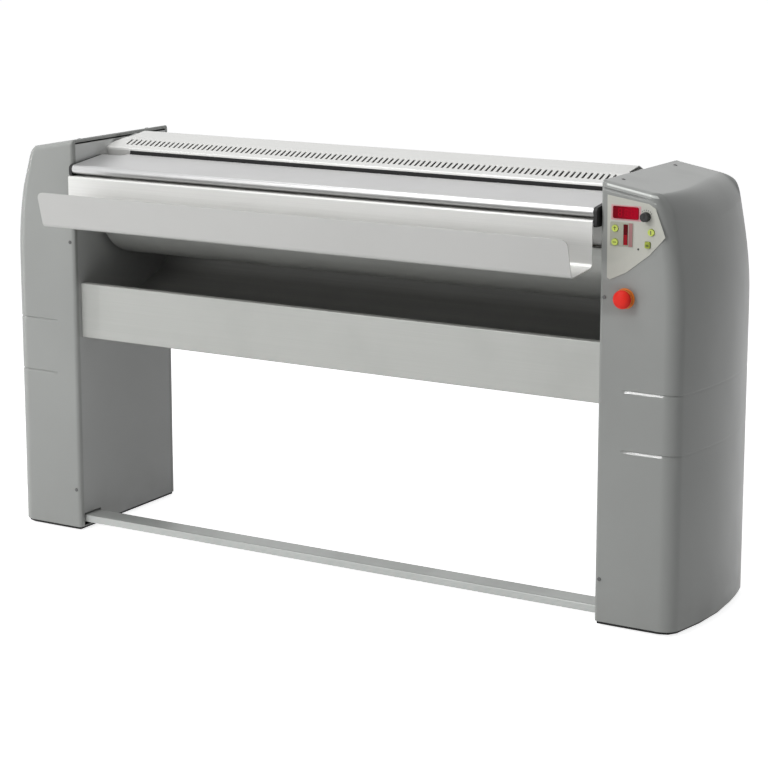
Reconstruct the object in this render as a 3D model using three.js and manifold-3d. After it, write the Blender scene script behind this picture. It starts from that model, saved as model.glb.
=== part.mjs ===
// Flatwork ironer: a padded roller turning in a heated chest between two side cabinets.
// Millimetres, +Z up, +X to the machine's right, -Y towards the person who feeds it.
// Working frame: X = 0 at mid length, Y = 0 at the cabinets' front faces, Z = 0 on the floor.
import * as THREE from 'three';
import { mergeVertices } from 'three/addons/utils/BufferGeometryUtils.js';
import Module from 'manifold-3d';

const wasm = await Module();
wasm.setup();

// ---------------------------------------------------------------- clearances
const SEAT = 0.3; // between pieces that rest on or are fixed to each other
const RUN = 0.6; // between pieces that turn or slide in one another
const END_PLAY = 2; // between a long piece and the inner faces beside it

// ---------------------------------------------------------------- side cabinets
const SPAN = 1450; // clear width between the two inner faces
const CAB_DEPTH = 410;
const CAB_HEIGHT = 1011;
const CAB_FLAT = 155; // width of the flat front face
const FRONT_RADIUS = 40; // outer front corner, in plan
const BACK_RADIUS = 20; // outer back corner, in plan
const SIDE_BOW = 22; // how far the outer side swells at mid depth
const SIDE_TILT = 14; // degrees, slope of the bowed side where it leaves a corner
const COVER_WALL = 4;
const TOP_EDGE = 13; // rounding of the top's front and back edges
const TOP_SHOULDER = 60; // rounding of the top's outer edge
const TOP_SLOPE = 0.18; // fall of the top per millimetre outwards
const TAPER_DROP = 310; // below the top's inner edge, where the outer side begins to lean in
const TAPER_START = CAB_HEIGHT - TAPER_DROP;
const TAPER_IN = 28; // how far it has leaned in just below the shoulder
const GROOVE_HEIGHTS = [411, 547];
const GROOVE_WIDTH = 9;
const GROOVE_DEPTH = 2.4;
const GROOVE_START = 48; // distance of a groove's front end from the inner face
const PLATE = 3; // inner frame plate
const PAD_HEIGHT = 5;
const PAD_LENGTH = 110;
const PAD_WIDTH = 44;
const PAD_INSET = 40; // middle of a foot pad from the cabinet's front or back
const PLINTH_HEIGHT = 7;
const PLINTH_INSET = 5;
const COVER_BASE = PAD_HEIGHT + PLINTH_HEIGHT + SEAT;
const SCREW_RADIUS = 4.5;
const SCREW_HEAD = 2.4;
const SCREW_INSET = 12; // screws from the cover's inner edge
const SCREW_HEIGHTS = [111, CAB_HEIGHT - 258];
const TOP_SCREW_DEPTHS = [62, 345];

// ---------------------------------------------------------------- roller and chest
const FEED_DROP = 89.5; // feed plate below the cabinets' top; the linen slides in over it
const FEED_HEIGHT = CAB_HEIGHT - FEED_DROP;
const ROLLER_RADIUS = 125; // over the padding
const ROLLER_ROOM = 25; // between the roller's ends and the inner faces
const ROLLER_LENGTH = SPAN - 2 * ROLLER_ROOM;
const PADDING = 12;
const TUBE_WALL = 5;
const DISC = 12; // end disc
const SHAFT_RADIUS = 17.5;
const AXIS_DROP = 68.5; // roller's axis below the feed plate
const AXIS_HEIGHT = FEED_HEIGHT - AXIS_DROP;
const CHEST_GAP = 2.5; // between the padding and the chest
const CHEST_WALL = 9;
const CHEST_END = 8; // end wall of the chest
const CHEST_ROOM = 13; // between the chest's ends and the inner faces
const CHEST_FACETS = 30;
const SHELL_ROOM = 15.5; // between the chest and the outside of its curved cover
const SHELL_RADIUS = ROLLER_RADIUS + CHEST_GAP + CHEST_WALL + SHELL_ROOM;
const SHELL_WALL = 2;
const REAR_INSET = 11; // outer face of the rear panel in front of the cabinets' back
const REAR_DEPTH = CAB_DEPTH - REAR_INSET;
const REAR_ROOM = 10; // between the curved cover and the rear panel's outer face
const AXIS_DEPTH = REAR_DEPTH - REAR_ROOM - SHELL_RADIUS;
const CHEST_RIM = 3; // degrees below the axis at which chest and cover end
const CHEST_STROKE = 12; // how far the chest lowers
const HEATER_RADIUS = 4;
const HEATER_ANGLES = [222, 270, 318];
const STUB_RADIUS = 10;
const STUB_ORBIT = 138.5; // chest stub from the roller's axis
const STUB_ANGLE = 300; // degrees round the axis from the back
const ROD_RADIUS = 6;
const LIFT_RADIUS = 16;
const LIFT_LENGTH = 150;
const LIFT_OFFSET = 42; // lifting rod from the inner face
const BEARING_RADIUS = 44;
const BEARING_PLATE = 9;
const BEARING_HUB = 30;
const BEARING_LENGTH = 24;

// ---------------------------------------------------------------- feeding side
const TRAY_WALL = 2;
const TRAY_LIP_DEPTH = -141; // front of the lip's top edge
const TRAY_LIP_DROP = 24.5; // lip's top edge below the feed plate
const TRAY_LIP_TOP = FEED_HEIGHT - TRAY_LIP_DROP;
const TRAY_LIP_TALL = 89;
const TRAY_TOE_DEPTH = -118; // where the lip meets the tray's floor
const TRAY_TOE_HEIGHT = TRAY_LIP_TOP - TRAY_LIP_TALL;
const TRAY_BACK_DEPTH = -15;
const TRAY_BACK_RISE = 10; // fall of the tray's floor towards the lip
const TRAY_BACK_HEIGHT = TRAY_TOE_HEIGHT + TRAY_BACK_RISE;
const TRAY_BEND = 12;
const TRAY_CORNER = 16; // rounding of the lip's free corners
const TRAY_RIGHT_GAP = 11.5; // the tray stops short of the guard's right end block
const FEED_SHORT = 136; // the feed plate turns down this far in front of the roller's axis
const FEED_REACH = AXIS_DEPTH - FEED_SHORT;
const FEED_TURN = 73; // length of the part that is turned down
const FEED_GAP = 5; // between the feed plate and the guard's nose
const GUARD_WALL = 2;
const GUARD_NOSE_DEPTH = -15;
const GUARD_NOSE_RADIUS = 11;
const GUARD_NOSE_HEIGHT = FEED_HEIGHT + TRAY_WALL + FEED_GAP + GUARD_NOSE_RADIUS;
const VENT_NOSE_DEPTH = AXIS_DEPTH - 94;
const GUARD_REAR_GAP = 12; // between the guard and the vent cover's nose
const GUARD_REAR_DEPTH = VENT_NOSE_DEPTH - GUARD_REAR_GAP;
const GUARD_RISE = 28.5; // rear edge above the nose's centre
const GUARD_REAR_HEIGHT = GUARD_NOSE_HEIGHT + GUARD_RISE;
const GUARD_SKIRT = 14;
const GUARD_NOTCH_LENGTH = 64; // rear left corner cut away
const GUARD_NOTCH_DEPTH = 22;
const GUARD_CAP = 9; // thickness of an end cap
const GUARD_BLOCK_DROP = 14; // the right cap reaches down in front of the feed plate's end
const GUARD_BLOCK_DEPTH = 40;
const PIN_RADIUS = 4;
const PIN_DEPTH = GUARD_REAR_DEPTH - 19; // guard's pivot
const PIN_DROP = 13; // pivot below the guard's rear edge
const VENT_WALL = 2;
const VENT_STEP = 10; // nose above the guard's rear edge
const VENT_NOSE_HEIGHT = GUARD_REAR_HEIGHT + VENT_STEP;
const VENT_FLANGE = 24; // folded down behind the guard
const VENT_RAMP_DEPTH = AXIS_DEPTH - 43;
const VENT_RAMP_RISE = 22.5;
const VENT_RAMP_HEIGHT = VENT_NOSE_HEIGHT + VENT_RAMP_RISE;
const VENT_REAR_DEPTH = AXIS_DEPTH + 28;
const VENT_BACK_DEPTH = REAR_DEPTH - 1;
const VENT_FALL = 59; // fall of the cover towards the back
const VENT_BACK_HEIGHT = CAB_HEIGHT - VENT_FALL;
const VENT_PANEL_INSET = 30; // the raised panel stops short of the inner faces
const SLOT_COUNT = 94;
const SLOT_MARGIN = 43.5; // plain sheet at each end of the row
const SLOT_PITCH = (SPAN - 2 * SLOT_MARGIN) / SLOT_COUNT;
const SLOT_WIDTH = 6;
const SLOT_LENGTH = 28;
const SLOT_FRONT = VENT_NOSE_DEPTH + 17;

// ---------------------------------------------------------------- frame between the cabinets
const APRON_DEPTH = 23;
const APRON_DROP = 206; // top edge below the roller's axis
const APRON_TALL = 140;
const APRON_TOP = AXIS_HEIGHT - APRON_DROP;
const APRON_BOTTOM = APRON_TOP - APRON_TALL;
const APRON_WALL = 2;
const APRON_RETURN = 18;
const CHUTE_WALL = 1.5;
const CHUTE_RISE = APRON_TOP + 8; // height at which the chute joins the rear panel
const REAR_WALL = 1.5;
const BRACE_CLEAR = 6; // between the rear panel's braces and the roller
const BEAM_DEPTH = 110;
const BEAM_SIZE = 30;
const BEAM_WALL = 3;

// ---------------------------------------------------------------- foot bar
const BAR_FRONT = 20;
const BAR_WIDTH = 60;
const BAR_BOTTOM = 22;
const BAR_HEIGHT = 20;
const BAR_WALL = 2;
const BAR_SWING_DEPTH = 300; // foot bar's pivot behind the front faces
const BAR_PIVOT_HEIGHT = 66;
const BAR_ARM = 6;
const BAR_TRAVEL = 6; // how far the bar sinks under the foot
const BAR_CLEAR = 4; // room round the bar in the inner plates
const BAR_PIN = 6;
const SWITCH_WIDTH = 27;
const SWITCH_DEPTH = 40;
const SWITCH_TALL = 44;
const SWITCH_RISE = 60; // top of the switch above the bar's pivot
const SWITCH_BEHIND = 10; // behind the bar
const FEELER = 12; // width of the switch's feeler

// ---------------------------------------------------------------- controls on the right cabinet
const PANEL_WALL = 1.2;
const below = (drop) => CAB_HEIGHT - drop; // height at a distance under the cabinets' top
const PANEL_OUTLINE = [[16, below(31)], [115, below(45)], [130, below(54)], [154, below(115)],
  [119, below(155)], [63, below(199)], [25, below(217)], [18, below(213)]]; // X and height
const DISPLAY_BOX = [30, 91, below(81), below(54)];
const LEVEL_BOX = [24, 78, below(142), below(89)];
const LED_BOX = [56, 66, below(138), below(93)];
const BUTTON_PLACES = [[36, below(103)], [36, below(133)], [121, below(106)]];
const BUTTON_RADIUS = 7.5;
const KEY_PLACE = [113, below(134)];
const KEY_WIDTH = 12;
const KEY_HEIGHT = 14;
const BUTTON_TRAVEL = 1.5;
const BUTTON_PROUD = 2 + BUTTON_TRAVEL;
const BUTTON_STEM = 5; // behind the cover
const BUTTON_FLANGE = 1.6;
const KNOB_PLACE = [108, below(73)];
const KNOB_RADIUS = 11;
const KNOB_LENGTH = 13;
const KNOB_SHAFT = 3;
const STOP_PLACE = [62, below(256)];
const STOP_RADIUS = 21;
const STOP_PROUD = 28;
const STOP_CAP = 15; // length of the mushroom head
const STOP_COLLAR = 19;
const STOP_COLLAR_LENGTH = 7;
const STOP_STEM = 9;
const STOP_BODY = 46; // depth of the switch behind the face
const STOP_HOUSE = 17; // half width of the switch
const STOP_TRAVEL = 5;

// ---------------------------------------------------------------- drive and electrics
const SPROCKET_OFFSET = 64; // chain line from the inner face
const SPROCKET_WIDTH = 6;
const ROLLER_SPROCKET = 58.5;
const MOTOR_SPROCKET = 27;
const ROLLER_TEETH = 26;
const MOTOR_TEETH = 12;
const CHAIN_THICKNESS = 8;
const CHAIN_WIDTH = 9;
const MOTOR_AHEAD = 107; // motor's shaft in front of the roller's axis
const MOTOR_DEPTH = AXIS_DEPTH - MOTOR_AHEAD;
const MOTOR_DROP = 253; // motor's shaft below the roller's axis
const MOTOR_HEIGHT = AXIS_HEIGHT - MOTOR_DROP;
const MOTOR_SHAFT = 9;
const GEARBOX = [82, 154, 80, 92]; // near and far side, depth, height
const MOTOR_RADIUS = 45;
const MOTOR_LENGTH = 105;
const BRACKET_WALL = 5;
const BRACKET_LENGTH = 152;
const BRACKET_LEG = 60;
const BOX_SIZE = [120, 85, 150]; // control box
const BOX_FRONT = AXIS_DEPTH - 179;
const BOX_BOTTOM = below(231);
const GLAND_RADIUS = 11;
const GLAND_PROUD = 15;
const GLAND_BORE = 4.5;
const GLAND_PLACE = [100, 150];

// ---------------------------------------------------------------- looks
const paint = (name, colour, roughness, metalness) => {
  const material = new THREE.MeshStandardMaterial({ color: colour, roughness, metalness });
  material.name = name;
  return material;
};
const greyPaint = () => paint('grey_paint', 0x9d9f9c, 0.45, 0.1);
const satinSteel = () => paint('satin_steel', 0xb9bbb8, 0.38, 0.9);
const brightSteel = () => paint('bright_steel', 0xc9cbc9, 0.2, 1.0);
const platedSteel = () => paint('plated_steel', 0xa8aaa8, 0.4, 0.9);
const darkSteel = () => paint('dark_steel', 0x4a4b4c, 0.5, 0.8);
const darkSheet = () => paint('dark_sheet', 0x4b4b49, 0.5, 0.7);
const blackPlastic = () => paint('black_plastic', 0x17181a, 0.45, 0.0);
const castIron = () => paint('cast_iron', 0x55585a, 0.6, 0.7);
const clothWhite = () => paint('padding_cloth', 0xe4dfd0, 0.95, 0.0);
const panelGrey = () => paint('panel_film', 0xb4b4ac, 0.5, 0.0);
const levelGrey = () => paint('level_film', 0x8d908e, 0.5, 0.0);
const displayRed = () => paint('display_window', 0x8e0020, 0.15, 0.0);
const ledRed = () => paint('led_bar', 0xd01f2c, 0.3, 0.0);
const buttonLime = () => paint('button_lime', 0xc8d76e, 0.4, 0.0);
const stopRed = () => paint('stop_red', 0xcd2d28, 0.35, 0.0);
const stopYellow = () => paint('stop_yellow', 0xe6c02a, 0.4, 0.0);
const boxGrey = () => paint('box_grey', 0x8f9496, 0.55, 0.1);
const motorBlue = () => paint('motor_grey', 0x60666b, 0.5, 0.4);

// ---------------------------------------------------------------- geometry helpers
const rad = THREE.MathUtils.degToRad;

/** Closed solid of a geometry, ready to join or cut. */
function solid(geometry) {
  const bare = geometry.clone();
  bare.deleteAttribute('normal');
  bare.deleteAttribute('uv');
  const merged = mergeVertices(bare, 1e-4);
  return new wasm.Manifold(new wasm.Mesh({
    numProp: 3,
    vertProperties: new Float32Array(merged.attributes.position.array),
    triVerts: new Uint32Array(merged.index.array),
  }));
}

/** Geometry of a solid that was joined or cut. */
function geometryOf(manifold) {
  const cut = manifold.getMesh();
  const geometry = new THREE.BufferGeometry();
  geometry.setAttribute('position', new THREE.BufferAttribute(cut.vertProperties, 3));
  geometry.setIndex(new THREE.BufferAttribute(cut.triVerts, 1));
  geometry.computeVertexNormals();
  return geometry;
}

const join = (first, ...rest) => geometryOf(rest.reduce((a, b) => a.add(solid(b)), solid(first)));

const cut = (first, ...rest) => geometryOf(
  rest.reduce((a, b) => a.subtract(solid(b)), solid(first)),
);

/** Outline in the XY sense of THREE.Shape, with holes given as point lists. */
function outline(points, holes = []) {
  const shape = new THREE.Shape(points.map(([a, b]) => new THREE.Vector2(a, b)));
  for (const hole of holes) {
    shape.holes.push(new THREE.Path(hole.map(([a, b]) => new THREE.Vector2(a, b))));
  }
  return shape;
}

function extrude(shape, depth) {
  return new THREE.ExtrudeGeometry(shape, { depth, bevelEnabled: false, steps: 1 });
}

/** Extrudes an outline of (Y, Z) points along X. */
function alongX(points, x0, x1, holes = []) {
  const geometry = extrude(outline(points, holes), x1 - x0);
  geometry.applyMatrix4(new THREE.Matrix4().set(0, 0, 1, x0, 1, 0, 0, 0, 0, 1, 0, 0, 0, 0, 0, 1));
  return geometry;
}

/** Extrudes an outline of (X, Z) points along Y. */
function alongY(points, y0, y1, holes = []) {
  const geometry = extrude(outline(points, holes), y1 - y0);
  geometry.applyMatrix4(new THREE.Matrix4().set(1, 0, 0, 0, 0, 0, -1, y1, 0, 1, 0, 0, 0, 0, 0, 1));
  return geometry;
}

/** Extrudes an outline of (X, Y) points along Z. */
function alongZ(points, z0, z1, holes = []) {
  const geometry = extrude(outline(points, holes), z1 - z0);
  geometry.translate(0, 0, z0);
  return geometry;
}

function circle(a, b, radius, sides) {
  const points = [];
  for (let i = 0; i < sides; i += 1) {
    const angle = (i / sides) * 2 * Math.PI;
    points.push([a + radius * Math.cos(angle), b + radius * Math.sin(angle)]);
  }
  return points;
}

const rectangle = (a0, a1, b0, b1) => [[a0, b0], [a1, b0], [a1, b1], [a0, b1]];

/** Rectangle with round corners. */
function softRectangle(a0, a1, b0, b1, radius, steps = 3) {
  const points = [];
  const corners = [[a1 - radius, b0 + radius, -90], [a1 - radius, b1 - radius, 0],
    [a0 + radius, b1 - radius, 90], [a0 + radius, b0 + radius, 180]];
  for (const [a, b, start] of corners) {
    for (let i = 0; i <= steps; i += 1) {
      const angle = rad(start + (90 * i) / steps);
      points.push([a + radius * Math.cos(angle), b + radius * Math.sin(angle)]);
    }
  }
  return points;
}

const box = (x0, x1, y0, y1, z0, z1) => alongX(rectangle(y0, y1, z0, z1), x0, x1);

/** Open path with its inner corners rounded; each point is [a, b, radius]. */
function bentPath(points, steps = 4) {
  const path = [];
  points.forEach(([a, b, radius = 0], i) => {
    if (!radius || i === 0 || i === points.length - 1) {
      path.push(new THREE.Vector2(a, b));
      return;
    }
    const corner = new THREE.Vector2(a, b);
    const into = new THREE.Vector2(...points[i - 1].slice(0, 2)).sub(corner).normalize();
    const out = new THREE.Vector2(...points[i + 1].slice(0, 2)).sub(corner).normalize();
    const half = Math.acos(THREE.MathUtils.clamp(into.dot(out), -1, 1)) / 2;
    const reach = radius / Math.tan(half);
    const centre = into.clone().add(out).normalize().multiplyScalar(radius / Math.sin(half));
    centre.add(corner);
    const start = into.clone().multiplyScalar(reach).add(corner).sub(centre);
    const end = out.clone().multiplyScalar(reach).add(corner).sub(centre);
    let turn = end.angle() - start.angle();
    if (turn > Math.PI) {
      turn -= 2 * Math.PI;
    }
    if (turn < -Math.PI) {
      turn += 2 * Math.PI;
    }
    for (let k = 0; k <= steps; k += 1) {
      path.push(start.clone().rotateAround(new THREE.Vector2(), (turn * k) / steps).add(centre));
    }
  });
  return path;
}

/** Closed outline of sheet metal: an open path thickened on its left-hand side. */
function sheetOutline(points, thickness, steps = 4) {
  const path = bentPath(points, steps);
  const offset = path.map((point, i) => {
    const before = path[Math.max(i - 1, 0)];
    const after = path[Math.min(i + 1, path.length - 1)];
    const a = point.clone().sub(before).normalize();
    const b = after.clone().sub(point).normalize();
    const first = i === 0 ? b : a;
    const second = i === path.length - 1 ? a : b;
    const normal = new THREE.Vector2(-first.y - second.y, first.x + second.x).normalize();
    const stretch = 1 / Math.max(0.4, normal.dot(new THREE.Vector2(-first.y, first.x)));
    return normal.multiplyScalar(thickness * stretch).add(point);
  });
  const closed = [...path, ...offset.reverse()];
  return closed.map((point) => [point.x, point.y]);
}

/** Sector of a ring around the roller's axis, in (Y, Z), angles in degrees from +Y. */
function sector(inner, outer, from, to, steps, depth = AXIS_DEPTH, height = AXIS_HEIGHT) {
  const points = [];
  for (let i = 0; i <= steps; i += 1) {
    const angle = rad(from + ((to - from) * i) / steps);
    points.push([depth + outer * Math.cos(angle), height + outer * Math.sin(angle)]);
  }
  for (let i = steps; i >= 0; i -= 1) {
    const angle = rad(from + ((to - from) * i) / steps);
    points.push([depth + inner * Math.cos(angle), height + inner * Math.sin(angle)]);
  }
  return points;
}

/** Round bar or tube along X, on the roller's axis unless a depth and height are given. */
const axisTube = (outer, inner, x0, x1, sides, y = AXIS_DEPTH, z = AXIS_HEIGHT) => alongX(
  circle(y, z, outer, sides), x0, x1, inner ? [circle(y, z, inner, sides)] : []);

function mirrored(geometry) {
  const copy = geometry.index ? geometry.toNonIndexed() : geometry.clone();
  const array = copy.attributes.position.array;
  for (let i = 0; i < array.length; i += 9) {
    for (let k = 0; k < 3; k += 1) {
      array[i + 3 * k] = -array[i + 3 * k];
    }
    for (let k = 0; k < 3; k += 1) {
      const spare = array[i + 3 + k];
      array[i + 3 + k] = array[i + 6 + k];
      array[i + 6 + k] = spare;
    }
  }
  copy.deleteAttribute('uv');
  copy.computeVertexNormals();
  return copy;
}

const ironer = new THREE.Group();
const tops = new THREE.Group();
ironer.add(tops);

/** Adds one named piece; side -1 mirrors it into the left cabinet, 1 puts it in the right. */
function piece(name, geometry, material, side = 0) {
  const placed = side < 0 ? mirrored(geometry) : geometry;
  const mesh = new THREE.Mesh(placed, material);
  mesh.name = name;
  mesh.position.x = (side * SPAN) / 2;
  tops.add(mesh);
  return mesh;
}

const INNER = SPAN / 2;

// ---------------------------------------------------------------- cabinet covers
/**
 * Plan of a cabinet from its front inner corner round the outer side to the back inner corner.
 * X counts outwards from the inner face. Each point has its place, its outward normal, the
 * radius that the top's edge has there and whether a groove reaches it.
 */
function cabinetPlan(fine) {
  const tilt = rad(SIDE_TILT);
  const plan = [];
  const add = (x, y, nx, ny, edge, groove) => plan.push({ x, y, nx, ny, edge, groove });
  add(0, 0, 0, -1, TOP_EDGE, 0);
  if (fine) {
    add(GROOVE_START, 0, 0, -1, TOP_EDGE, 0);
    add(GROOVE_START + GROOVE_DEPTH, 0, 0, -1, TOP_EDGE, 1);
  }
  const arc = (cx, cy, radius, from, to, steps) => {
    for (let i = 0; i <= steps; i += 1) {
      const angle = from + ((to - from) * i) / steps;
      const side = 1 - Math.abs(Math.sin(angle));
      const edge = TOP_EDGE + (TOP_SHOULDER - TOP_EDGE) * side;
      add(cx + radius * Math.cos(angle), cy + radius * Math.sin(angle), Math.cos(angle),
        Math.sin(angle), edge, 1);
    }
  };
  const corners = fine ? 6 : 2;
  arc(CAB_FLAT, FRONT_RADIUS, FRONT_RADIUS, -Math.PI / 2, -tilt, corners);
  const sideX = CAB_FLAT + FRONT_RADIUS * Math.cos(tilt);
  const frontY = FRONT_RADIUS * (1 - Math.sin(tilt));
  const backY = CAB_DEPTH - BACK_RADIUS * (1 - Math.sin(tilt));
  const steps = fine ? 8 : 4;
  for (let i = 1; i < steps; i += 1) {
    const t = (2 * i) / steps - 1;
    const y = (frontY + backY) / 2 + (t * (backY - frontY)) / 2;
    const slope = (-2 * SIDE_BOW * t) / ((backY - frontY) / 2);
    const size = Math.hypot(1, slope);
    add(sideX + SIDE_BOW * (1 - t * t), y, 1 / size, -slope / size, TOP_SHOULDER, 1);
  }
  const backX = sideX - BACK_RADIUS * Math.cos(tilt);
  arc(backX, CAB_DEPTH - BACK_RADIUS, BACK_RADIUS, tilt, Math.PI / 2, fine ? 4 : 2);
  add(0, CAB_DEPTH, 0, 1, TOP_EDGE, 0);
  return plan;
}

/** Lean of the outer side at a height, as a length at the widest point. */
function lean(z) {
  const share = (z - TAPER_START) / (CAB_HEIGHT - TOP_SHOULDER - TAPER_START);
  return z < TAPER_START ? 0 : TAPER_IN * share * share;
}

/** Fall of the top's slope at a point. */
function fall(x, z) {
  const share = (z - TAPER_START) / (CAB_HEIGHT - TOP_SHOULDER - TAPER_START);
  const ramp = THREE.MathUtils.clamp(share, 0, 1);
  return TOP_SLOPE * x * ramp * ramp * (3 - 2 * ramp);
}

const CAB_WIDTH = CAB_FLAT + FRONT_RADIUS * Math.cos(rad(SIDE_TILT)) + SIDE_BOW;

/** Closed skin through stacked rings of the cabinet's plan. */
function cabinetBody(inset, bottom, openSide, fine) {
  const plan = cabinetPlan(fine);
  const rings = [];
  const ring = (z, groove, edgeShare) => {
    rings.push(plan.map((point, i) => {
      const end = i === 0 || i === plan.length - 1;
      const turn = (edgeShare * Math.PI) / 2;
      const edge = Math.max(point.edge - inset, 1);
      const round = edgeShare < 0 ? 0 : edge * (1 - Math.cos(turn));
      const away = inset + round + groove * point.groove * GROOVE_DEPTH;
      const height = edgeShare < 0 ? z : CAB_HEIGHT - inset - edge * (1 - Math.sin(turn));
      const wide = end ? -openSide : point.x - point.nx * away;
      const x = wide - (lean(height) * Math.max(wide, 0)) / CAB_WIDTH;
      const y = point.y - point.ny * away;
      return [x, y, height - fall(x, height)];
    }));
  };
  ring(bottom, 0, -1);
  if (fine) {
    for (const z of GROOVE_HEIGHTS) {
      ring(z - GROOVE_WIDTH / 2, 0, -1);
      ring(z - GROOVE_WIDTH / 2 + GROOVE_DEPTH, 1, -1);
      ring(z + GROOVE_WIDTH / 2 - GROOVE_DEPTH, 1, -1);
      ring(z + GROOVE_WIDTH / 2, 0, -1);
    }
  }
  ring(TAPER_START, 0, -1);
  const lifts = fine ? [0.3, 0.55, 0.78, 0.9] : [0.5, 0.85];
  for (const share of lifts) {
    ring(TAPER_START + share * (CAB_HEIGHT - TOP_SHOULDER - TAPER_START), 0, -1);
  }
  const bends = fine ? 5 : 2;
  for (let i = 0; i <= bends; i += 1) {
    ring(0, 0, i / bends);
  }
  return stackedRings(rings);
}

/** Skin over rings of equally many points, with a cap at each end. */
function stackedRings(rings) {
  const count = rings[0].length;
  const positions = rings.flat(2);
  const index = [];
  for (let level = 0; level + 1 < rings.length; level += 1) {
    for (let i = 0; i < count; i += 1) {
      const next = (i + 1) % count;
      const a = level * count + i;
      const b = level * count + next;
      index.push(a, b, b + count, a, b + count, a + count);
    }
  }
  const cap = (level, flip) => {
    const ring = rings[level].map(([x, y]) => new THREE.Vector2(x, y));
    for (const [a, b, c] of THREE.ShapeUtils.triangulateShape(ring, [])) {
      const base = level * count;
      index.push(base + a, base + (flip ? c : b), base + (flip ? b : c));
    }
  };
  cap(0, true);
  cap(rings.length - 1, false);
  const geometry = new THREE.BufferGeometry();
  geometry.setAttribute('position', new THREE.Float32BufferAttribute(positions, 3));
  geometry.setIndex(index);
  return geometry;
}

/** Hole through the cover's front wall, or through a plate on it. */
const frontHole = (place, radius, y0, y1) => alongY(circle(...place, radius, 16), y0, y1);

const coverShell = () => cut(
  cabinetBody(0, COVER_BASE, 0, true),
  cabinetBody(COVER_WALL, COVER_BASE - 20, 20, false),
);

const glandHole = alongY(circle(...GLAND_PLACE, GLAND_RADIUS + SEAT, 16), CAB_DEPTH - 30,
  CAB_DEPTH + 20);
/** Prism on the key's outline, grown by a gap. */
const keyPrism = (gap, y0, y1) => alongY(
  softRectangle(KEY_PLACE[0] - KEY_WIDTH / 2 - gap, KEY_PLACE[0] + KEY_WIDTH / 2 + gap,
    KEY_PLACE[1] - KEY_HEIGHT / 2 - gap, KEY_PLACE[1] + KEY_HEIGHT / 2 + gap, 2, 2), y0, y1);
const controlHoles = (y0, y1) => [
  ...BUTTON_PLACES.map((place) => frontHole(place, BUTTON_RADIUS + RUN, y0, y1)),
  keyPrism(RUN, y0, y1),
  frontHole(KNOB_PLACE, KNOB_SHAFT + RUN, y0, y1),
];
const stopHole = frontHole(STOP_PLACE, STOP_STEM + 3 * RUN, -10, COVER_WALL + 10);

piece('left_side_cover', coverShell(), greyPaint(), -1);
piece('right_side_cover', cut(coverShell(), ...controlHoles(-10, COVER_WALL + 10), stopHole,
  glandHole), greyPaint(), 1);

// ---------------------------------------------------------------- inner plates, plinths, pads
const PLATE_GAP = 2 * SEAT;
const armOffset = PLATE + 8; // foot bar's arm from the inner face
const PIN_HEIGHT = GUARD_REAR_HEIGHT - PIN_DROP;
const STUB_DEPTH = AXIS_DEPTH + STUB_ORBIT * Math.cos(rad(STUB_ANGLE));
const STUB_HEIGHT = AXIS_HEIGHT + STUB_ORBIT * Math.sin(rad(STUB_ANGLE));

const plateEdge = COVER_WALL + PLATE_GAP;
const plateOutline = [
  ...softRectangle(plateEdge, CAB_DEPTH - plateEdge, COVER_BASE, CAB_HEIGHT - plateEdge,
    TOP_EDGE, 2),
];
const barSlot = rectangle(BAR_FRONT - BAR_CLEAR, BAR_FRONT + BAR_WIDTH + BAR_CLEAR,
  BAR_BOTTOM - BAR_TRAVEL - BAR_CLEAR / 2, BAR_BOTTOM + BAR_HEIGHT + BAR_CLEAR);
const stubSlot = rectangle(STUB_DEPTH - STUB_RADIUS - RUN, STUB_DEPTH + STUB_RADIUS + RUN,
  STUB_HEIGHT - STUB_RADIUS - CHEST_STROKE - 3, STUB_HEIGHT + STUB_RADIUS + RUN);
const plateHoles = [
  circle(AXIS_DEPTH, AXIS_HEIGHT, SHAFT_RADIUS + 2, 20),
  circle(PIN_DEPTH, PIN_HEIGHT, PIN_RADIUS + RUN, 12),
  barSlot,
  stubSlot,
];
for (const [name, side] of [['left', -1], ['right', 1]]) {
  const plate = alongX(plateOutline, 0, PLATE, plateHoles);
  const pivot = axisTube(BAR_PIN, 0, PLATE - 1, armOffset + BAR_ARM + 6, 16, BAR_SWING_DEPTH,
    BAR_PIVOT_HEIGHT);
  const collar = axisTube(BAR_PIN + 5, 0, PLATE - 1, armOffset - RUN, 16, BAR_SWING_DEPTH,
    BAR_PIVOT_HEIGHT);
  piece(`${name}_inner_plate`, join(plate, pivot, collar), greyPaint(), side);
  const plinth = cabinetPlan(false).map(({ x, y, nx, ny }, i, all) => {
    const end = i === 0 || i === all.length - 1;
    return [end ? PLINTH_INSET : x - nx * PLINTH_INSET, y - ny * PLINTH_INSET];
  });
  const pads = [PAD_INSET, CAB_DEPTH - PAD_INSET].map((depth) => alongZ(
    softRectangle(CAB_FLAT / 2 - PAD_LENGTH / 2, CAB_FLAT / 2 + PAD_LENGTH / 2,
      depth - PAD_WIDTH / 2, depth + PAD_WIDTH / 2, 8), 0, PAD_HEIGHT + 1));
  piece(`${name}_base`, join(alongZ(plinth, PAD_HEIGHT, PAD_HEIGHT + PLINTH_HEIGHT), ...pads),
    blackPlastic(), side);
  SCREW_HEIGHTS.forEach((height, i) => {
    const head = alongY(circle(SCREW_INSET, height, SCREW_RADIUS, 12), -SCREW_HEAD - SEAT, -SEAT);
    piece(`${name}_front_screw_${i + 1}`, head, platedSteel(), side);
  });
  TOP_SCREW_DEPTHS.forEach((depth, i) => {
    const head = alongZ(circle(0, 0, SCREW_RADIUS, 12), SEAT, SCREW_HEAD + SEAT);
    head.rotateY(Math.atan(TOP_SLOPE));
    head.translate(2 * SCREW_INSET, depth, CAB_HEIGHT - TOP_SLOPE * 2 * SCREW_INSET);
    piece(`${name}_top_screw_${i + 1}`, head, platedSteel(), side);
  });
}

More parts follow.
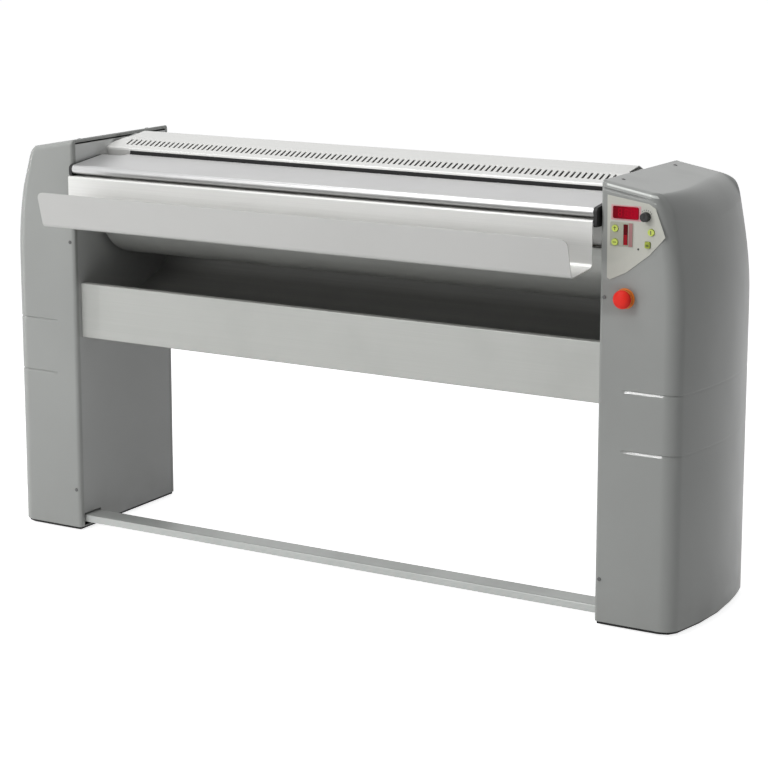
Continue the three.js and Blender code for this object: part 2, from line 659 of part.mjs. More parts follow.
// ---------------------------------------------------------------- roller
const rollerEnd = ROLLER_LENGTH / 2;
const tubeRadius = ROLLER_RADIUS - PADDING;
const shaftEnd = INNER + SPROCKET_OFFSET + SPROCKET_WIDTH + 6;

piece('roller_padding', axisTube(ROLLER_RADIUS, tubeRadius + SEAT, -rollerEnd, rollerEnd, 48),
  clothWhite());
piece('roller_tube', axisTube(tubeRadius, tubeRadius - TUBE_WALL, -rollerEnd, rollerEnd, 48),
  satinSteel());
for (const [name, sign] of [['left', -1], ['right', 1]]) {
  const disc = axisTube(tubeRadius - TUBE_WALL - SEAT, 0, rollerEnd - DISC - 4, rollerEnd - 4, 32);
  const shaft = axisTube(SHAFT_RADIUS, 0, rollerEnd - DISC - 2, shaftEnd, 20);
  const whole = join(disc, shaft);
  piece(`roller_${name}_end`, sign < 0 ? mirrored(whole) : whole, platedSteel());
  const flange = axisTube(BEARING_RADIUS, SHAFT_RADIUS + SEAT, PLATE + SEAT,
    PLATE + SEAT + BEARING_PLATE, 20);
  const hub = axisTube(BEARING_HUB, SHAFT_RADIUS + SEAT, PLATE + SEAT + 1,
    PLATE + SEAT + BEARING_LENGTH, 20);
  piece(`${name}_roller_bearing`, join(flange, hub), castIron(), sign);
}

// ---------------------------------------------------------------- heated chest
const chestInner = ROLLER_RADIUS + CHEST_GAP;
const chestOuter = chestInner + CHEST_WALL;
const rimFrom = 180 + CHEST_RIM;
const rimTo = 360 - CHEST_RIM;
const chestHalf = INNER - CHEST_ROOM;
const shellInner = SHELL_RADIUS - SHELL_WALL;
const chestEndWall = (x0, x1) => alongX(
  sector(chestInner, shellInner - SEAT, rimFrom, rimTo, CHEST_FACETS), x0, x1);
const chestTrough = alongX(sector(chestInner, chestOuter, rimFrom, rimTo, CHEST_FACETS),
  -chestHalf, chestHalf);
piece('heated_chest', join(chestTrough, chestEndWall(-chestHalf, -chestHalf + CHEST_END),
  chestEndWall(chestHalf - CHEST_END, chestHalf)), satinSteel());

const shellSheet = alongX(sector(shellInner, SHELL_RADIUS, rimFrom, rimTo, CHEST_FACETS),
  -chestHalf, chestHalf);
const rimFlange = (angle, turn) => alongX(
  sector(chestOuter + SEAT, SHELL_RADIUS, angle, angle + turn, 1), -chestHalf + CHEST_END + SEAT,
  chestHalf - CHEST_END - SEAT);
piece('chest_cover', join(shellSheet, rimFlange(rimFrom, 1), rimFlange(rimTo, -1)),
  satinSteel());

const heaterOrbit = chestOuter + HEATER_RADIUS + SEAT;
HEATER_ANGLES.forEach((angle, i) => {
  const y = AXIS_DEPTH + heaterOrbit * Math.cos(rad(angle));
  const z = AXIS_HEIGHT + heaterOrbit * Math.sin(rad(angle));
  const reach = chestHalf - CHEST_END - SEAT;
  piece(`chest_heater_${i + 1}`, axisTube(HEATER_RADIUS, 0, -reach, reach, 8, y, z), darkSteel());
});

for (const [name, side] of [['left', -1], ['right', 1]]) {
  const stub = axisTube(STUB_RADIUS, 0, -CHEST_ROOM + SEAT, LIFT_OFFSET, 12, STUB_DEPTH,
    STUB_HEIGHT);
  const rodTop = STUB_HEIGHT;
  const tubeTop = STUB_HEIGHT - STUB_RADIUS - CHEST_STROKE - 6;
  const tubeBottom = tubeTop - LIFT_LENGTH;
  const rod = alongZ(circle(LIFT_OFFSET - 2, STUB_DEPTH, ROD_RADIUS, 12),
    tubeBottom + CHEST_STROKE + 20, rodTop);
  piece(`${name}_lift_rod`, join(stub, rod), platedSteel(), side);
  const barrel = alongZ(circle(LIFT_OFFSET - 2, STUB_DEPTH, LIFT_RADIUS, 16), tubeBottom, tubeTop);
  const foot = box(PLATE + SEAT, LIFT_OFFSET, STUB_DEPTH - LIFT_RADIUS + 1,
    STUB_DEPTH + LIFT_RADIUS - 1, tubeBottom + 10, tubeTop - 10);
  const bore = alongZ(circle(LIFT_OFFSET - 2, STUB_DEPTH, ROD_RADIUS + RUN, 12), tubeBottom + 8,
    tubeTop + 1);
  piece(`${name}_lift_cylinder`, cut(join(barrel, foot), bore), darkSteel(), side);
}

// ---------------------------------------------------------------- feed tray and finger guard
const trayLeft = -INNER + SEAT;
const trayRight = INNER - TRAY_RIGHT_GAP;
const trayOutline = sheetOutline([
  [TRAY_LIP_DEPTH, TRAY_LIP_TOP],
  [TRAY_TOE_DEPTH, TRAY_TOE_HEIGHT, TRAY_BEND],
  [TRAY_BACK_DEPTH, TRAY_BACK_HEIGHT, TRAY_BEND],
  [TRAY_BACK_DEPTH, FEED_HEIGHT, 3],
  [FEED_REACH, FEED_HEIGHT, 6],
  [FEED_REACH + 3, FEED_HEIGHT - FEED_TURN],
], TRAY_WALL);
const lipCorner = (x, turn) => {
  const blank = box(Math.min(x, x + turn * TRAY_CORNER) - (turn > 0 ? 5 : 0),
    Math.max(x, x + turn * TRAY_CORNER) + (turn < 0 ? 5 : 0), TRAY_LIP_DEPTH - 20,
    TRAY_LIP_DEPTH + 20, TRAY_LIP_TOP - TRAY_CORNER, TRAY_LIP_TOP + 10);
  const keep = alongY(circle(x + turn * TRAY_CORNER, TRAY_LIP_TOP - TRAY_CORNER, TRAY_CORNER, 24),
    TRAY_LIP_DEPTH - 30, TRAY_LIP_DEPTH + 30);
  return cut(blank, keep);
};
const feedPlate = alongX(sheetOutline([
  [FEED_REACH - 40, FEED_HEIGHT],
  [FEED_REACH, FEED_HEIGHT, 6],
  [FEED_REACH + 3, FEED_HEIGHT - FEED_TURN],
], TRAY_WALL), trayRight - 1, INNER - SEAT);
piece('feed_tray', join(cut(alongX(trayOutline, trayLeft, trayRight), lipCorner(trayLeft, 1),
  lipCorner(trayRight, -1)), feedPlate), satinSteel());

const guardLeft = -INNER + END_PLAY + GUARD_CAP + SEAT;
const guardRight = INNER - END_PLAY - GUARD_CAP - SEAT;
const noseTop = GUARD_NOSE_HEIGHT + GUARD_NOSE_RADIUS;
const noseBottom = GUARD_NOSE_HEIGHT - GUARD_NOSE_RADIUS;
const guardPath = [
  [GUARD_NOSE_DEPTH + 48, noseBottom + 2],
  [GUARD_NOSE_DEPTH, noseBottom, GUARD_NOSE_RADIUS],
  [GUARD_NOSE_DEPTH, noseTop, GUARD_NOSE_RADIUS - 1],
  [GUARD_REAR_DEPTH, GUARD_REAR_HEIGHT, 4],
  [GUARD_REAR_DEPTH, GUARD_REAR_HEIGHT - GUARD_SKIRT],
];
const guardNotch = alongZ(softRectangle(guardLeft - 40, guardLeft + GUARD_NOTCH_LENGTH,
  GUARD_REAR_DEPTH - GUARD_NOTCH_DEPTH, GUARD_REAR_DEPTH + 40, 14, 4), GUARD_NOSE_HEIGHT,
GUARD_REAR_HEIGHT + 20);
piece('finger_guard', cut(alongX(sheetOutline(guardPath, -GUARD_WALL, 6), guardLeft, guardRight),
  guardNotch), brightSteel());

const capBottom = FEED_HEIGHT + TRAY_WALL + RUN;
const capOutline = bentPath([
  [GUARD_NOSE_DEPTH + 60, capBottom, 0],
  [GUARD_NOSE_DEPTH, capBottom, 5],
  [GUARD_NOSE_DEPTH, noseTop, GUARD_NOSE_RADIUS - 1],
  [PIN_DEPTH + 8, GUARD_REAR_HEIGHT - 3, 6],
  [PIN_DEPTH + 8, PIN_HEIGHT - 8, 6],
]).map((point) => [point.x, point.y]);
const capBlock = alongX(softRectangle(GUARD_NOSE_DEPTH, GUARD_NOSE_DEPTH + GUARD_BLOCK_DEPTH,
  FEED_HEIGHT - GUARD_BLOCK_DROP, GUARD_NOSE_HEIGHT, 4, 2), guardRight + SEAT, guardRight + SEAT + GUARD_CAP);
for (const [name, sign] of [['left', -1], ['right', 1]]) {
  const cap = alongX(capOutline, guardRight + SEAT, guardRight + SEAT + GUARD_CAP);
  const pin = axisTube(PIN_RADIUS, 0, guardRight + GUARD_CAP, INNER + PLATE, 12, PIN_DEPTH,
    PIN_HEIGHT);
  const whole = sign < 0 ? join(cap, pin) : join(cap, capBlock, pin);
  piece(`guard_${name}_cap`, sign < 0 ? mirrored(whole) : whole, blackPlastic());
}

// ---------------------------------------------------------------- vent cover, rear panel, chute
const ventHalf = INNER - SEAT;
const ventPath = [
  [VENT_NOSE_DEPTH + 4, VENT_NOSE_HEIGHT - VENT_FLANGE],
  [VENT_NOSE_DEPTH, VENT_NOSE_HEIGHT - 3, 3],
  [VENT_NOSE_DEPTH, VENT_NOSE_HEIGHT + 3, 3],
  [VENT_RAMP_DEPTH, VENT_RAMP_HEIGHT, 30],
  [VENT_REAR_DEPTH, CAB_HEIGHT, 8],
  [VENT_BACK_DEPTH, VENT_BACK_HEIGHT, 12],
  [VENT_BACK_DEPTH, VENT_BACK_HEIGHT - 30],
];
const slotTool = () => {
  const first = (-(SLOT_COUNT - 1) / 2) * SLOT_PITCH;
  const slots = [];
  for (let i = 0; i < SLOT_COUNT; i += 1) {
    const x = first + i * SLOT_PITCH;
    slots.push(box(x - SLOT_WIDTH / 2, x + SLOT_WIDTH / 2, SLOT_FRONT, SLOT_FRONT + SLOT_LENGTH,
      VENT_NOSE_HEIGHT, CAB_HEIGHT));
  }
  return slots;
};
const ventCorner = (sign) => {
  const near = ventHalf + 5;
  const far = INNER - VENT_PANEL_INSET;
  const points = [[near, VENT_RAMP_DEPTH - 36], [near, VENT_BACK_DEPTH + 10],
    [far, VENT_BACK_DEPTH + 10], [far, VENT_RAMP_DEPTH + 18], [far + 10, VENT_RAMP_DEPTH - 2]];
  const corner = alongZ(points, VENT_BACK_HEIGHT - 60, CAB_HEIGHT + 10);
  return sign < 0 ? mirrored(corner) : corner;
};
const ventSheet = alongX(sheetOutline(ventPath, -VENT_WALL), -ventHalf, ventHalf);
piece('vent_cover', cut(ventSheet, ventCorner(-1), ventCorner(1), ...slotTool()), satinSteel());

const braceCurve = [100, 84, 68, 52, 40].map((degrees) => [
  AXIS_DEPTH + (ROLLER_RADIUS + BRACE_CLEAR) * Math.cos(rad(degrees)),
  AXIS_HEIGHT + (ROLLER_RADIUS + BRACE_CLEAR) * Math.sin(rad(degrees))]);
const braceOutline = [[VENT_RAMP_DEPTH + 12, VENT_RAMP_HEIGHT - 6],
  [VENT_RAMP_DEPTH + 12, braceCurve[0][1]], ...braceCurve,
  [VENT_BACK_DEPTH - 8, VENT_BACK_HEIGHT - 42], [VENT_BACK_DEPTH - 8, VENT_BACK_HEIGHT - 4],
  [VENT_REAR_DEPTH, CAB_HEIGHT - 8]];
const brace = (x0, x1) => alongX(braceOutline, x0, x1);
const rearHalf = INNER - SEAT;
const rearTop = VENT_BACK_HEIGHT - 34;
const rearPath = [
  [REAR_DEPTH - 16, rearTop],
  [REAR_DEPTH, rearTop, 3],
  [REAR_DEPTH, CHUTE_RISE],
];
const braceEnd = rearHalf - VENT_PANEL_INSET - 12;
piece('rear_panel', join(alongX(sheetOutline(rearPath, -REAR_WALL), -rearHalf, rearHalf),
  brace(-rearHalf, -braceEnd), brace(braceEnd, rearHalf)), satinSteel());
const chutePath = [
  [REAR_DEPTH - REAR_WALL - SEAT, CHUTE_RISE + 60],
  [REAR_DEPTH - REAR_WALL - SEAT, CHUTE_RISE - 10, 60],
  [APRON_DEPTH + APRON_RETURN + 30, APRON_BOTTOM + 18, 20],
  [APRON_DEPTH + APRON_WALL + RUN + SEAT, APRON_BOTTOM + 8],
];
piece('linen_chute', alongX(sheetOutline(chutePath, -CHUTE_WALL), -rearHalf, rearHalf),
  darkSheet());

const apronPath = [
  [APRON_DEPTH + APRON_RETURN, APRON_TOP - 4],
  [APRON_DEPTH + APRON_RETURN, APRON_TOP, 2],
  [APRON_DEPTH, APRON_TOP, 4],
  [APRON_DEPTH, APRON_BOTTOM, 4],
  [APRON_DEPTH + APRON_RETURN, APRON_BOTTOM],
];
piece('front_apron', alongX(sheetOutline(apronPath, APRON_WALL), -rearHalf, rearHalf),
  satinSteel());
const beamBottom = APRON_BOTTOM - 6;
const beamAt = (grow) => rectangle(BEAM_DEPTH - BEAM_SIZE / 2 + grow,
  BEAM_DEPTH + BEAM_SIZE / 2 - grow, beamBottom + grow, beamBottom + BEAM_SIZE - grow);
piece('cross_beam', alongX(beamAt(0), -rearHalf, rearHalf, [beamAt(BEAM_WALL)]), platedSteel());

// ---------------------------------------------------------------- foot bar
const barReach = INNER + armOffset + BAR_ARM;
const barTop = BAR_BOTTOM + BAR_HEIGHT;
const barTube = alongX(
  softRectangle(BAR_FRONT, BAR_FRONT + BAR_WIDTH, BAR_BOTTOM, barTop, 4, 2), -barReach, barReach);
const barBore = box(-barReach - 5, barReach + 5, BAR_FRONT + BAR_WALL,
  BAR_FRONT + BAR_WIDTH - BAR_WALL, BAR_BOTTOM + BAR_WALL, barTop - BAR_WALL);
const armPoints = [
  [BAR_FRONT + BAR_WALL, BAR_BOTTOM + 1], [BAR_FRONT + BAR_WIDTH, BAR_BOTTOM + 1],
  [BAR_SWING_DEPTH + 12, BAR_PIVOT_HEIGHT - 12], [BAR_SWING_DEPTH + 12, BAR_PIVOT_HEIGHT + 12],
  [BAR_SWING_DEPTH - 12, BAR_PIVOT_HEIGHT + 12], [BAR_FRONT + BAR_WIDTH, barTop - 1],
  [BAR_FRONT + BAR_WALL, barTop - 1],
];
const armHole = circle(BAR_SWING_DEPTH, BAR_PIVOT_HEIGHT, BAR_PIN + RUN, 16);
const barArm = (x0, x1) => alongX(armPoints, x0, x1, [armHole]);
piece('foot_bar', cut(join(barTube, barArm(INNER + armOffset, barReach),
  barArm(-barReach, -INNER - armOffset)), barBore), satinSteel());
const switchTop = BAR_PIVOT_HEIGHT + SWITCH_RISE;
const switchFront = BAR_FRONT + BAR_WIDTH + SWITCH_BEHIND;
const feelerFront = switchFront + (SWITCH_DEPTH - FEELER) / 2;
piece('foot_switch', join(
  box(PLATE + SEAT, PLATE + SEAT + SWITCH_WIDTH, switchFront, switchFront + SWITCH_DEPTH,
    switchTop - SWITCH_TALL, switchTop),
  box(armOffset, armOffset + BAR_ARM, feelerFront, feelerFront + FEELER, barTop + FEELER,
    switchTop - SWITCH_TALL + 4)), blackPlastic(), 1);

// ---------------------------------------------------------------- controls
const panelBack = -SEAT;
const panelFace = panelBack - PANEL_WALL;
piece('control_panel', cut(alongY(PANEL_OUTLINE, panelFace, panelBack),
  ...controlHoles(-10, 10)), panelGrey(), 1);
const window = ([x0, x1, z0, z1], proud) => alongY(softRectangle(x0, x1, z0, z1, 3, 2),
  panelFace - SEAT - proud, panelFace - SEAT);
piece('display_window', window(DISPLAY_BOX, 1.5), displayRed(), 1);
const [ledX0, ledX1, ledZ0, ledZ1] = LED_BOX;
const ledRoom = alongY(rectangle(ledX0 - SEAT, ledX1 + SEAT, ledZ0 - SEAT, ledZ1 + SEAT),
  panelFace - 10, panelFace + 10);
piece('level_plate', cut(window(LEVEL_BOX, 0.8), ledRoom, ...controlHoles(-10, 10)),
  levelGrey(), 1);
piece('level_led_bar', alongY(rectangle(...LED_BOX), panelFace - SEAT - 1.4, panelFace - SEAT),
  ledRed(), 1);

const stemEnd = COVER_WALL + BUTTON_STEM;
const buttonBack = COVER_WALL + SEAT;
BUTTON_PLACES.forEach((place, i) => {
  const cap = alongY(circle(...place, BUTTON_RADIUS, 16), panelFace - BUTTON_PROUD, stemEnd);
  const flange = alongY(circle(...place, BUTTON_RADIUS + 2, 16), buttonBack,
    buttonBack + BUTTON_FLANGE);
  piece(`button_${i + 1}`, join(cap, flange), buttonLime(), 1);
});
piece('button_4', join(keyPrism(0, panelFace - BUTTON_PROUD, stemEnd),
  keyPrism(2, buttonBack, buttonBack + BUTTON_FLANGE)), buttonLime(), 1);

const knobBack = panelFace - RUN;
const knobFront = knobBack - KNOB_LENGTH;
const [knobX, knobZ] = KNOB_PLACE;
const knobDisc = new THREE.CylinderGeometry(KNOB_RADIUS, KNOB_RADIUS - 1.5, KNOB_LENGTH, 24);
knobDisc.translate(knobX, (knobBack + knobFront) / 2, knobZ);
const pointer = box(knobX - 1.2, knobX + 1.2, knobFront - 1.5, knobFront + 2, knobZ - 2,
  knobZ + KNOB_RADIUS - 2.5);
const knobStem = alongY(circle(...KNOB_PLACE, KNOB_SHAFT, 12), knobFront + 2, COVER_WALL + 9);
piece('selector_knob', join(knobDisc, pointer, knobStem), blackPlastic(), 1);

const [stopX, stopZ] = STOP_PLACE;
const latheY = (profile, sides) => {
  const points = profile.map(([radius, y]) => new THREE.Vector2(radius, y));
  const geometry = new THREE.LatheGeometry(points, sides);
  geometry.translate(stopX, 0, stopZ);
  return geometry;
};
const capBack = -STOP_PROUD + STOP_CAP;
const capOutlineY = [
  [0, -STOP_PROUD], [STOP_RADIUS - 10, -STOP_PROUD + 0.8], [STOP_RADIUS - 4, -STOP_PROUD + 3],
  [STOP_RADIUS - 0.5, capBack - 7], [STOP_RADIUS, capBack - 3], [STOP_RADIUS - 2, capBack],
  [0, capBack],
];
const stopBore = alongY(circle(stopX, stopZ, STOP_STEM - 3 + SEAT, 20), capBack - 6, capBack + 5);
piece('stop_cap', cut(latheY(capOutlineY, 28), stopBore), stopRed(), 1);
piece('stop_plunger', join(
  alongY(circle(stopX, stopZ, STOP_STEM, 20), capBack + SEAT, COVER_WALL + 26),
  alongY(circle(stopX, stopZ, STOP_STEM - 3, 20), capBack - 6 + SEAT, capBack + 4)),
darkSteel(), 1);
const collarBack = -SEAT;
const collarOuter = alongY(circle(stopX, stopZ, STOP_COLLAR, 28),
  collarBack - STOP_COLLAR_LENGTH, collarBack);
const collarBore = alongY(circle(stopX, stopZ, STOP_STEM + RUN, 20), -60, 60);
piece('stop_collar', cut(collarOuter, collarBore), stopYellow(), 1);
const stopHouse = box(stopX - STOP_HOUSE, stopX + STOP_HOUSE, COVER_WALL + SEAT, STOP_BODY,
  stopZ - STOP_HOUSE, stopZ + STOP_HOUSE);
const stopRoom = alongY(circle(stopX, stopZ, STOP_STEM + RUN, 20), 0,
  COVER_WALL + 26 + STOP_TRAVEL + 2);
piece('stop_switch', cut(stopHouse, stopRoom), blackPlastic(), 1);

// ---------------------------------------------------------------- drive and electrics
const chainMid = SPROCKET_OFFSET + SPROCKET_WIDTH / 2;
const toothed = (radius, teeth, y, z) => {
  const points = [];
  for (let i = 0; i < teeth; i += 1) {
    const at = (share, r) => {
      const angle = ((i + share) / teeth) * 2 * Math.PI;
      points.push([y + r * Math.cos(angle), z + r * Math.sin(angle)]);
    };
    at(0, radius - 5);
    at(0.35, radius - 5);
    at(0.6, radius);
    at(0.75, radius);
  }
  return points;
};
piece('roller_sprocket', alongX(toothed(ROLLER_SPROCKET, ROLLER_TEETH, AXIS_DEPTH, AXIS_HEIGHT),
  SPROCKET_OFFSET, SPROCKET_OFFSET + SPROCKET_WIDTH,
  [circle(AXIS_DEPTH, AXIS_HEIGHT, SHAFT_RADIUS + SEAT, 20)]), darkSteel(), 1);
const [gearNear, gearFar, gearDepth, gearHeight] = GEARBOX;
piece('motor_sprocket', join(
  alongX(toothed(MOTOR_SPROCKET, MOTOR_TEETH, MOTOR_DEPTH, MOTOR_HEIGHT), SPROCKET_OFFSET,
    SPROCKET_OFFSET + SPROCKET_WIDTH),
  axisTube(MOTOR_SHAFT, 0, SPROCKET_OFFSET + 1, gearNear + 24, 16, MOTOR_DEPTH, MOTOR_HEIGHT)),
darkSteel(), 1);

/** Loop of chain round the two sprockets, in (Y, Z). */
function chainLoop(grow) {
  const low = MOTOR_SPROCKET + grow;
  const high = ROLLER_SPROCKET + grow;
  const reach = Math.hypot(AXIS_DEPTH - MOTOR_DEPTH, AXIS_HEIGHT - MOTOR_HEIGHT);
  const line = Math.atan2(MOTOR_HEIGHT - AXIS_HEIGHT, MOTOR_DEPTH - AXIS_DEPTH);
  const wrap = Math.acos((high - low) / reach);
  const points = [];
  const arc = (y, z, radius, from, to, steps) => {
    for (let i = 0; i <= steps; i += 1) {
      const angle = from + ((to - from) * i) / steps;
      points.push([y + radius * Math.cos(angle), z + radius * Math.sin(angle)]);
    }
  };
  arc(AXIS_DEPTH, AXIS_HEIGHT, high, line + wrap, line + 2 * Math.PI - wrap, 16);
  arc(MOTOR_DEPTH, MOTOR_HEIGHT, low, line - wrap, line + wrap, 12);
  return points;
}
piece('drive_chain', alongX(chainLoop(SEAT + CHAIN_THICKNESS), chainMid - CHAIN_WIDTH / 2,
  chainMid + CHAIN_WIDTH / 2, [chainLoop(RUN)]), darkSteel(), 1);

const gearBottom = MOTOR_HEIGHT - gearHeight / 2;
const gearBack = MOTOR_DEPTH + gearDepth / 2;
const gearbox = box(gearNear, gearFar, MOTOR_DEPTH - gearDepth / 2, gearBack, gearBottom,
  MOTOR_HEIGHT + gearHeight / 2);
const motorBody = alongY(circle((gearNear + gearFar) / 2, MOTOR_HEIGHT, MOTOR_RADIUS, 24),
  gearBack - 2, gearBack + MOTOR_LENGTH);
const gearBore = axisTube(MOTOR_SHAFT + RUN, 0, gearNear - 2, gearNear + 27, 16, MOTOR_DEPTH,
  MOTOR_HEIGHT);
piece('gear_motor', cut(join(gearbox, motorBody), gearBore), motorBlue(), 1);
const shelfTop = gearBottom - SEAT;
piece('motor_bracket', alongY([
  [PLATE + SEAT, shelfTop - BRACKET_LEG], [PLATE + SEAT + BRACKET_WALL, shelfTop - BRACKET_LEG],
  [PLATE + SEAT + BRACKET_WALL, shelfTop - BRACKET_WALL], [BRACKET_LENGTH, shelfTop - BRACKET_WALL],
  [BRACKET_LENGTH, shelfTop], [PLATE + SEAT, shelfTop]],
MOTOR_DEPTH - gearDepth / 2, MOTOR_DEPTH + gearDepth / 2), platedSteel(), 1);

const [boxWidth, boxDepth, boxHeight] = BOX_SIZE;
piece('control_box', alongX(softRectangle(BOX_FRONT, BOX_FRONT + boxDepth, BOX_BOTTOM,
  BOX_BOTTOM + boxHeight, 4, 1), PLATE + SEAT, PLATE + SEAT + boxWidth), boxGrey(), 1);

const glandAt = (radius, y0, y1, sides) => alongY(circle(...GLAND_PLACE, radius, sides), y0, y1);
piece('cable_gland', cut(join(
  glandAt(GLAND_RADIUS, CAB_DEPTH - COVER_WALL - 6, CAB_DEPTH + GLAND_PROUD, 16),
  glandAt(GLAND_RADIUS + 4, CAB_DEPTH + SEAT, CAB_DEPTH + GLAND_PROUD - 6, 6)),
glandAt(GLAND_BORE, CAB_DEPTH - 40, CAB_DEPTH + 40, 10)), blackPlastic(), 1);

// ---------------------------------------------------------------- place on the floor
const front = TRAY_LIP_DEPTH;
const back = CAB_DEPTH + GLAND_PROUD;
tops.position.y = -(front + back) / 2;

export default ironer;
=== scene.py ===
"""Looks of a flatwork ironer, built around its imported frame.

Sizes in the classes are millimetres in the cabinets' own frame: X = 0 at mid length, Y = 0 at the
front faces of the two side cabinets, Z = 0 on the floor. Finished meshes are in metres in the
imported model's frame.
"""
import logging
import math
from dataclasses import dataclass
from enum import Enum
from typing import Callable, Iterable, Sequence, Union

import bmesh
import bpy
from mathutils import Matrix, Vector


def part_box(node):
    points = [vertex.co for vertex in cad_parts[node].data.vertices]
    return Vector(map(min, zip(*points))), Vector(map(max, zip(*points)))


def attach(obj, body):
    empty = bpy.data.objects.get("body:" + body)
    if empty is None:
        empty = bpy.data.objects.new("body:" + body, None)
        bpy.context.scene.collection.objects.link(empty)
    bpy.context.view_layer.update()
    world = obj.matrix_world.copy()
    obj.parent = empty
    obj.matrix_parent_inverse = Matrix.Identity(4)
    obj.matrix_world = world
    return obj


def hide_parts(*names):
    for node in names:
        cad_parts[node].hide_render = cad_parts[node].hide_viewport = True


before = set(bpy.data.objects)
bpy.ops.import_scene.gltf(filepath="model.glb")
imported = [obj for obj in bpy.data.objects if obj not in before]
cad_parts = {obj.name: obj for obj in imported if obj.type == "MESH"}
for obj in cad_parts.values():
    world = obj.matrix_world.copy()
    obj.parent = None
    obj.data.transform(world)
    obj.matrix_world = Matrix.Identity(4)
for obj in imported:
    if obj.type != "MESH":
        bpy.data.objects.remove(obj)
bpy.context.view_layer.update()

log = logging.getLogger("ironer")

Point = tuple[float, float, float]
Pair = tuple[float, float]
Colour = tuple[float, float, float]
Box = tuple[float, float, float, float]

MM = 0.001
FRONT_PLANE = -0.142  # metres: the cabinets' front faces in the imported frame
INNER = 725.0  # inner faces of the cabinets from mid length
ROLLER_DEPTH, ROLLER_HEIGHT, ROLLER_RADIUS = 237.0, 853.0, 125.0  # the roller's axis and size
PACKED = Matrix.Translation((0.0, FRONT_PLANE, 0.0)) @ Matrix.Scale(MM, 4)


class Body(Enum):
    """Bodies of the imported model."""

    FRAME = "frame"
    ROLLER = "roller"
    MOTOR_SHAFT = "motor_shaft"
    CHEST = "chest"
    GUARD = "guard"
    FOOT_LEVER = "foot_lever"
    STOP_STEM = "stop_stem"
    STOP_HEAD = "stop_head"
    KNOB = "knob"
    KEY_1 = "key_1"
    KEY_2 = "key_2"
    KEY_3 = "key_3"
    KEY_4 = "key_4"


class Side(Enum):
    """Left or right cabinet; the value is the sign of its X."""

    LEFT = -1
    RIGHT = 1


class Grain(Enum):
    """Direction of the brushing on a metal sheet, as noise scales per metre."""

    ALONG_X = (2.5, 520.0, 520.0)
    ALONG_Z = (520.0, 520.0, 2.5)


# ---------------------------------------------------------------- shader maths
class Term:
    """A shader value that can be used in arithmetic; each operation adds its Math node."""

    def __init__(self, graph: "Graph", socket: bpy.types.NodeSocket) -> None:
        """Keeps the graph and the output socket."""
        self.graph = graph
        self.socket = socket

    def _math(self, operation: str, *values: "Value") -> "Term":
        """Adds a Math node.

        Args:
            operation: Name of the Math operation.
            values: Its operands in order.

        Returns:
            The node's result.
        """
        inputs = dict(enumerate(values))
        return self.graph.node("ShaderNodeMath", {"operation": operation}, inputs)

    def __add__(self, other: "Value") -> "Term":
        """self + other."""
        return self._math("ADD", self, other)

    def __sub__(self, other: "Value") -> "Term":
        """self - other."""
        return self._math("SUBTRACT", self, other)

    def __mul__(self, other: "Value") -> "Term":
        """self * other."""
        return self._math("MULTIPLY", self, other)

    def most(self, other: "Value") -> "Term":
        """The larger of two values."""
        return self._math("MAXIMUM", self, other)

    def size(self) -> "Term":
        """The value without its sign."""
        return self._math("ABSOLUTE", self)

    def ramp(self, low: float, high: float, start: float = 0.0, end: float = 1.0) -> "Term":
        """Smooth step between two values.

        Args:
            low: Value at which the result is start.
            high: Value at which the result is end.
            start: Result at low.
            end: Result at high.

        Returns:
            The mapped value.
        """
        return self.graph.node("ShaderNodeMapRange", {"interpolation_type": "SMOOTHSTEP"}, {
            "Value": self, "From Min": low, "From Max": high, "To Min": start, "To Max": end})


Value = Union[Term, float, int, tuple]


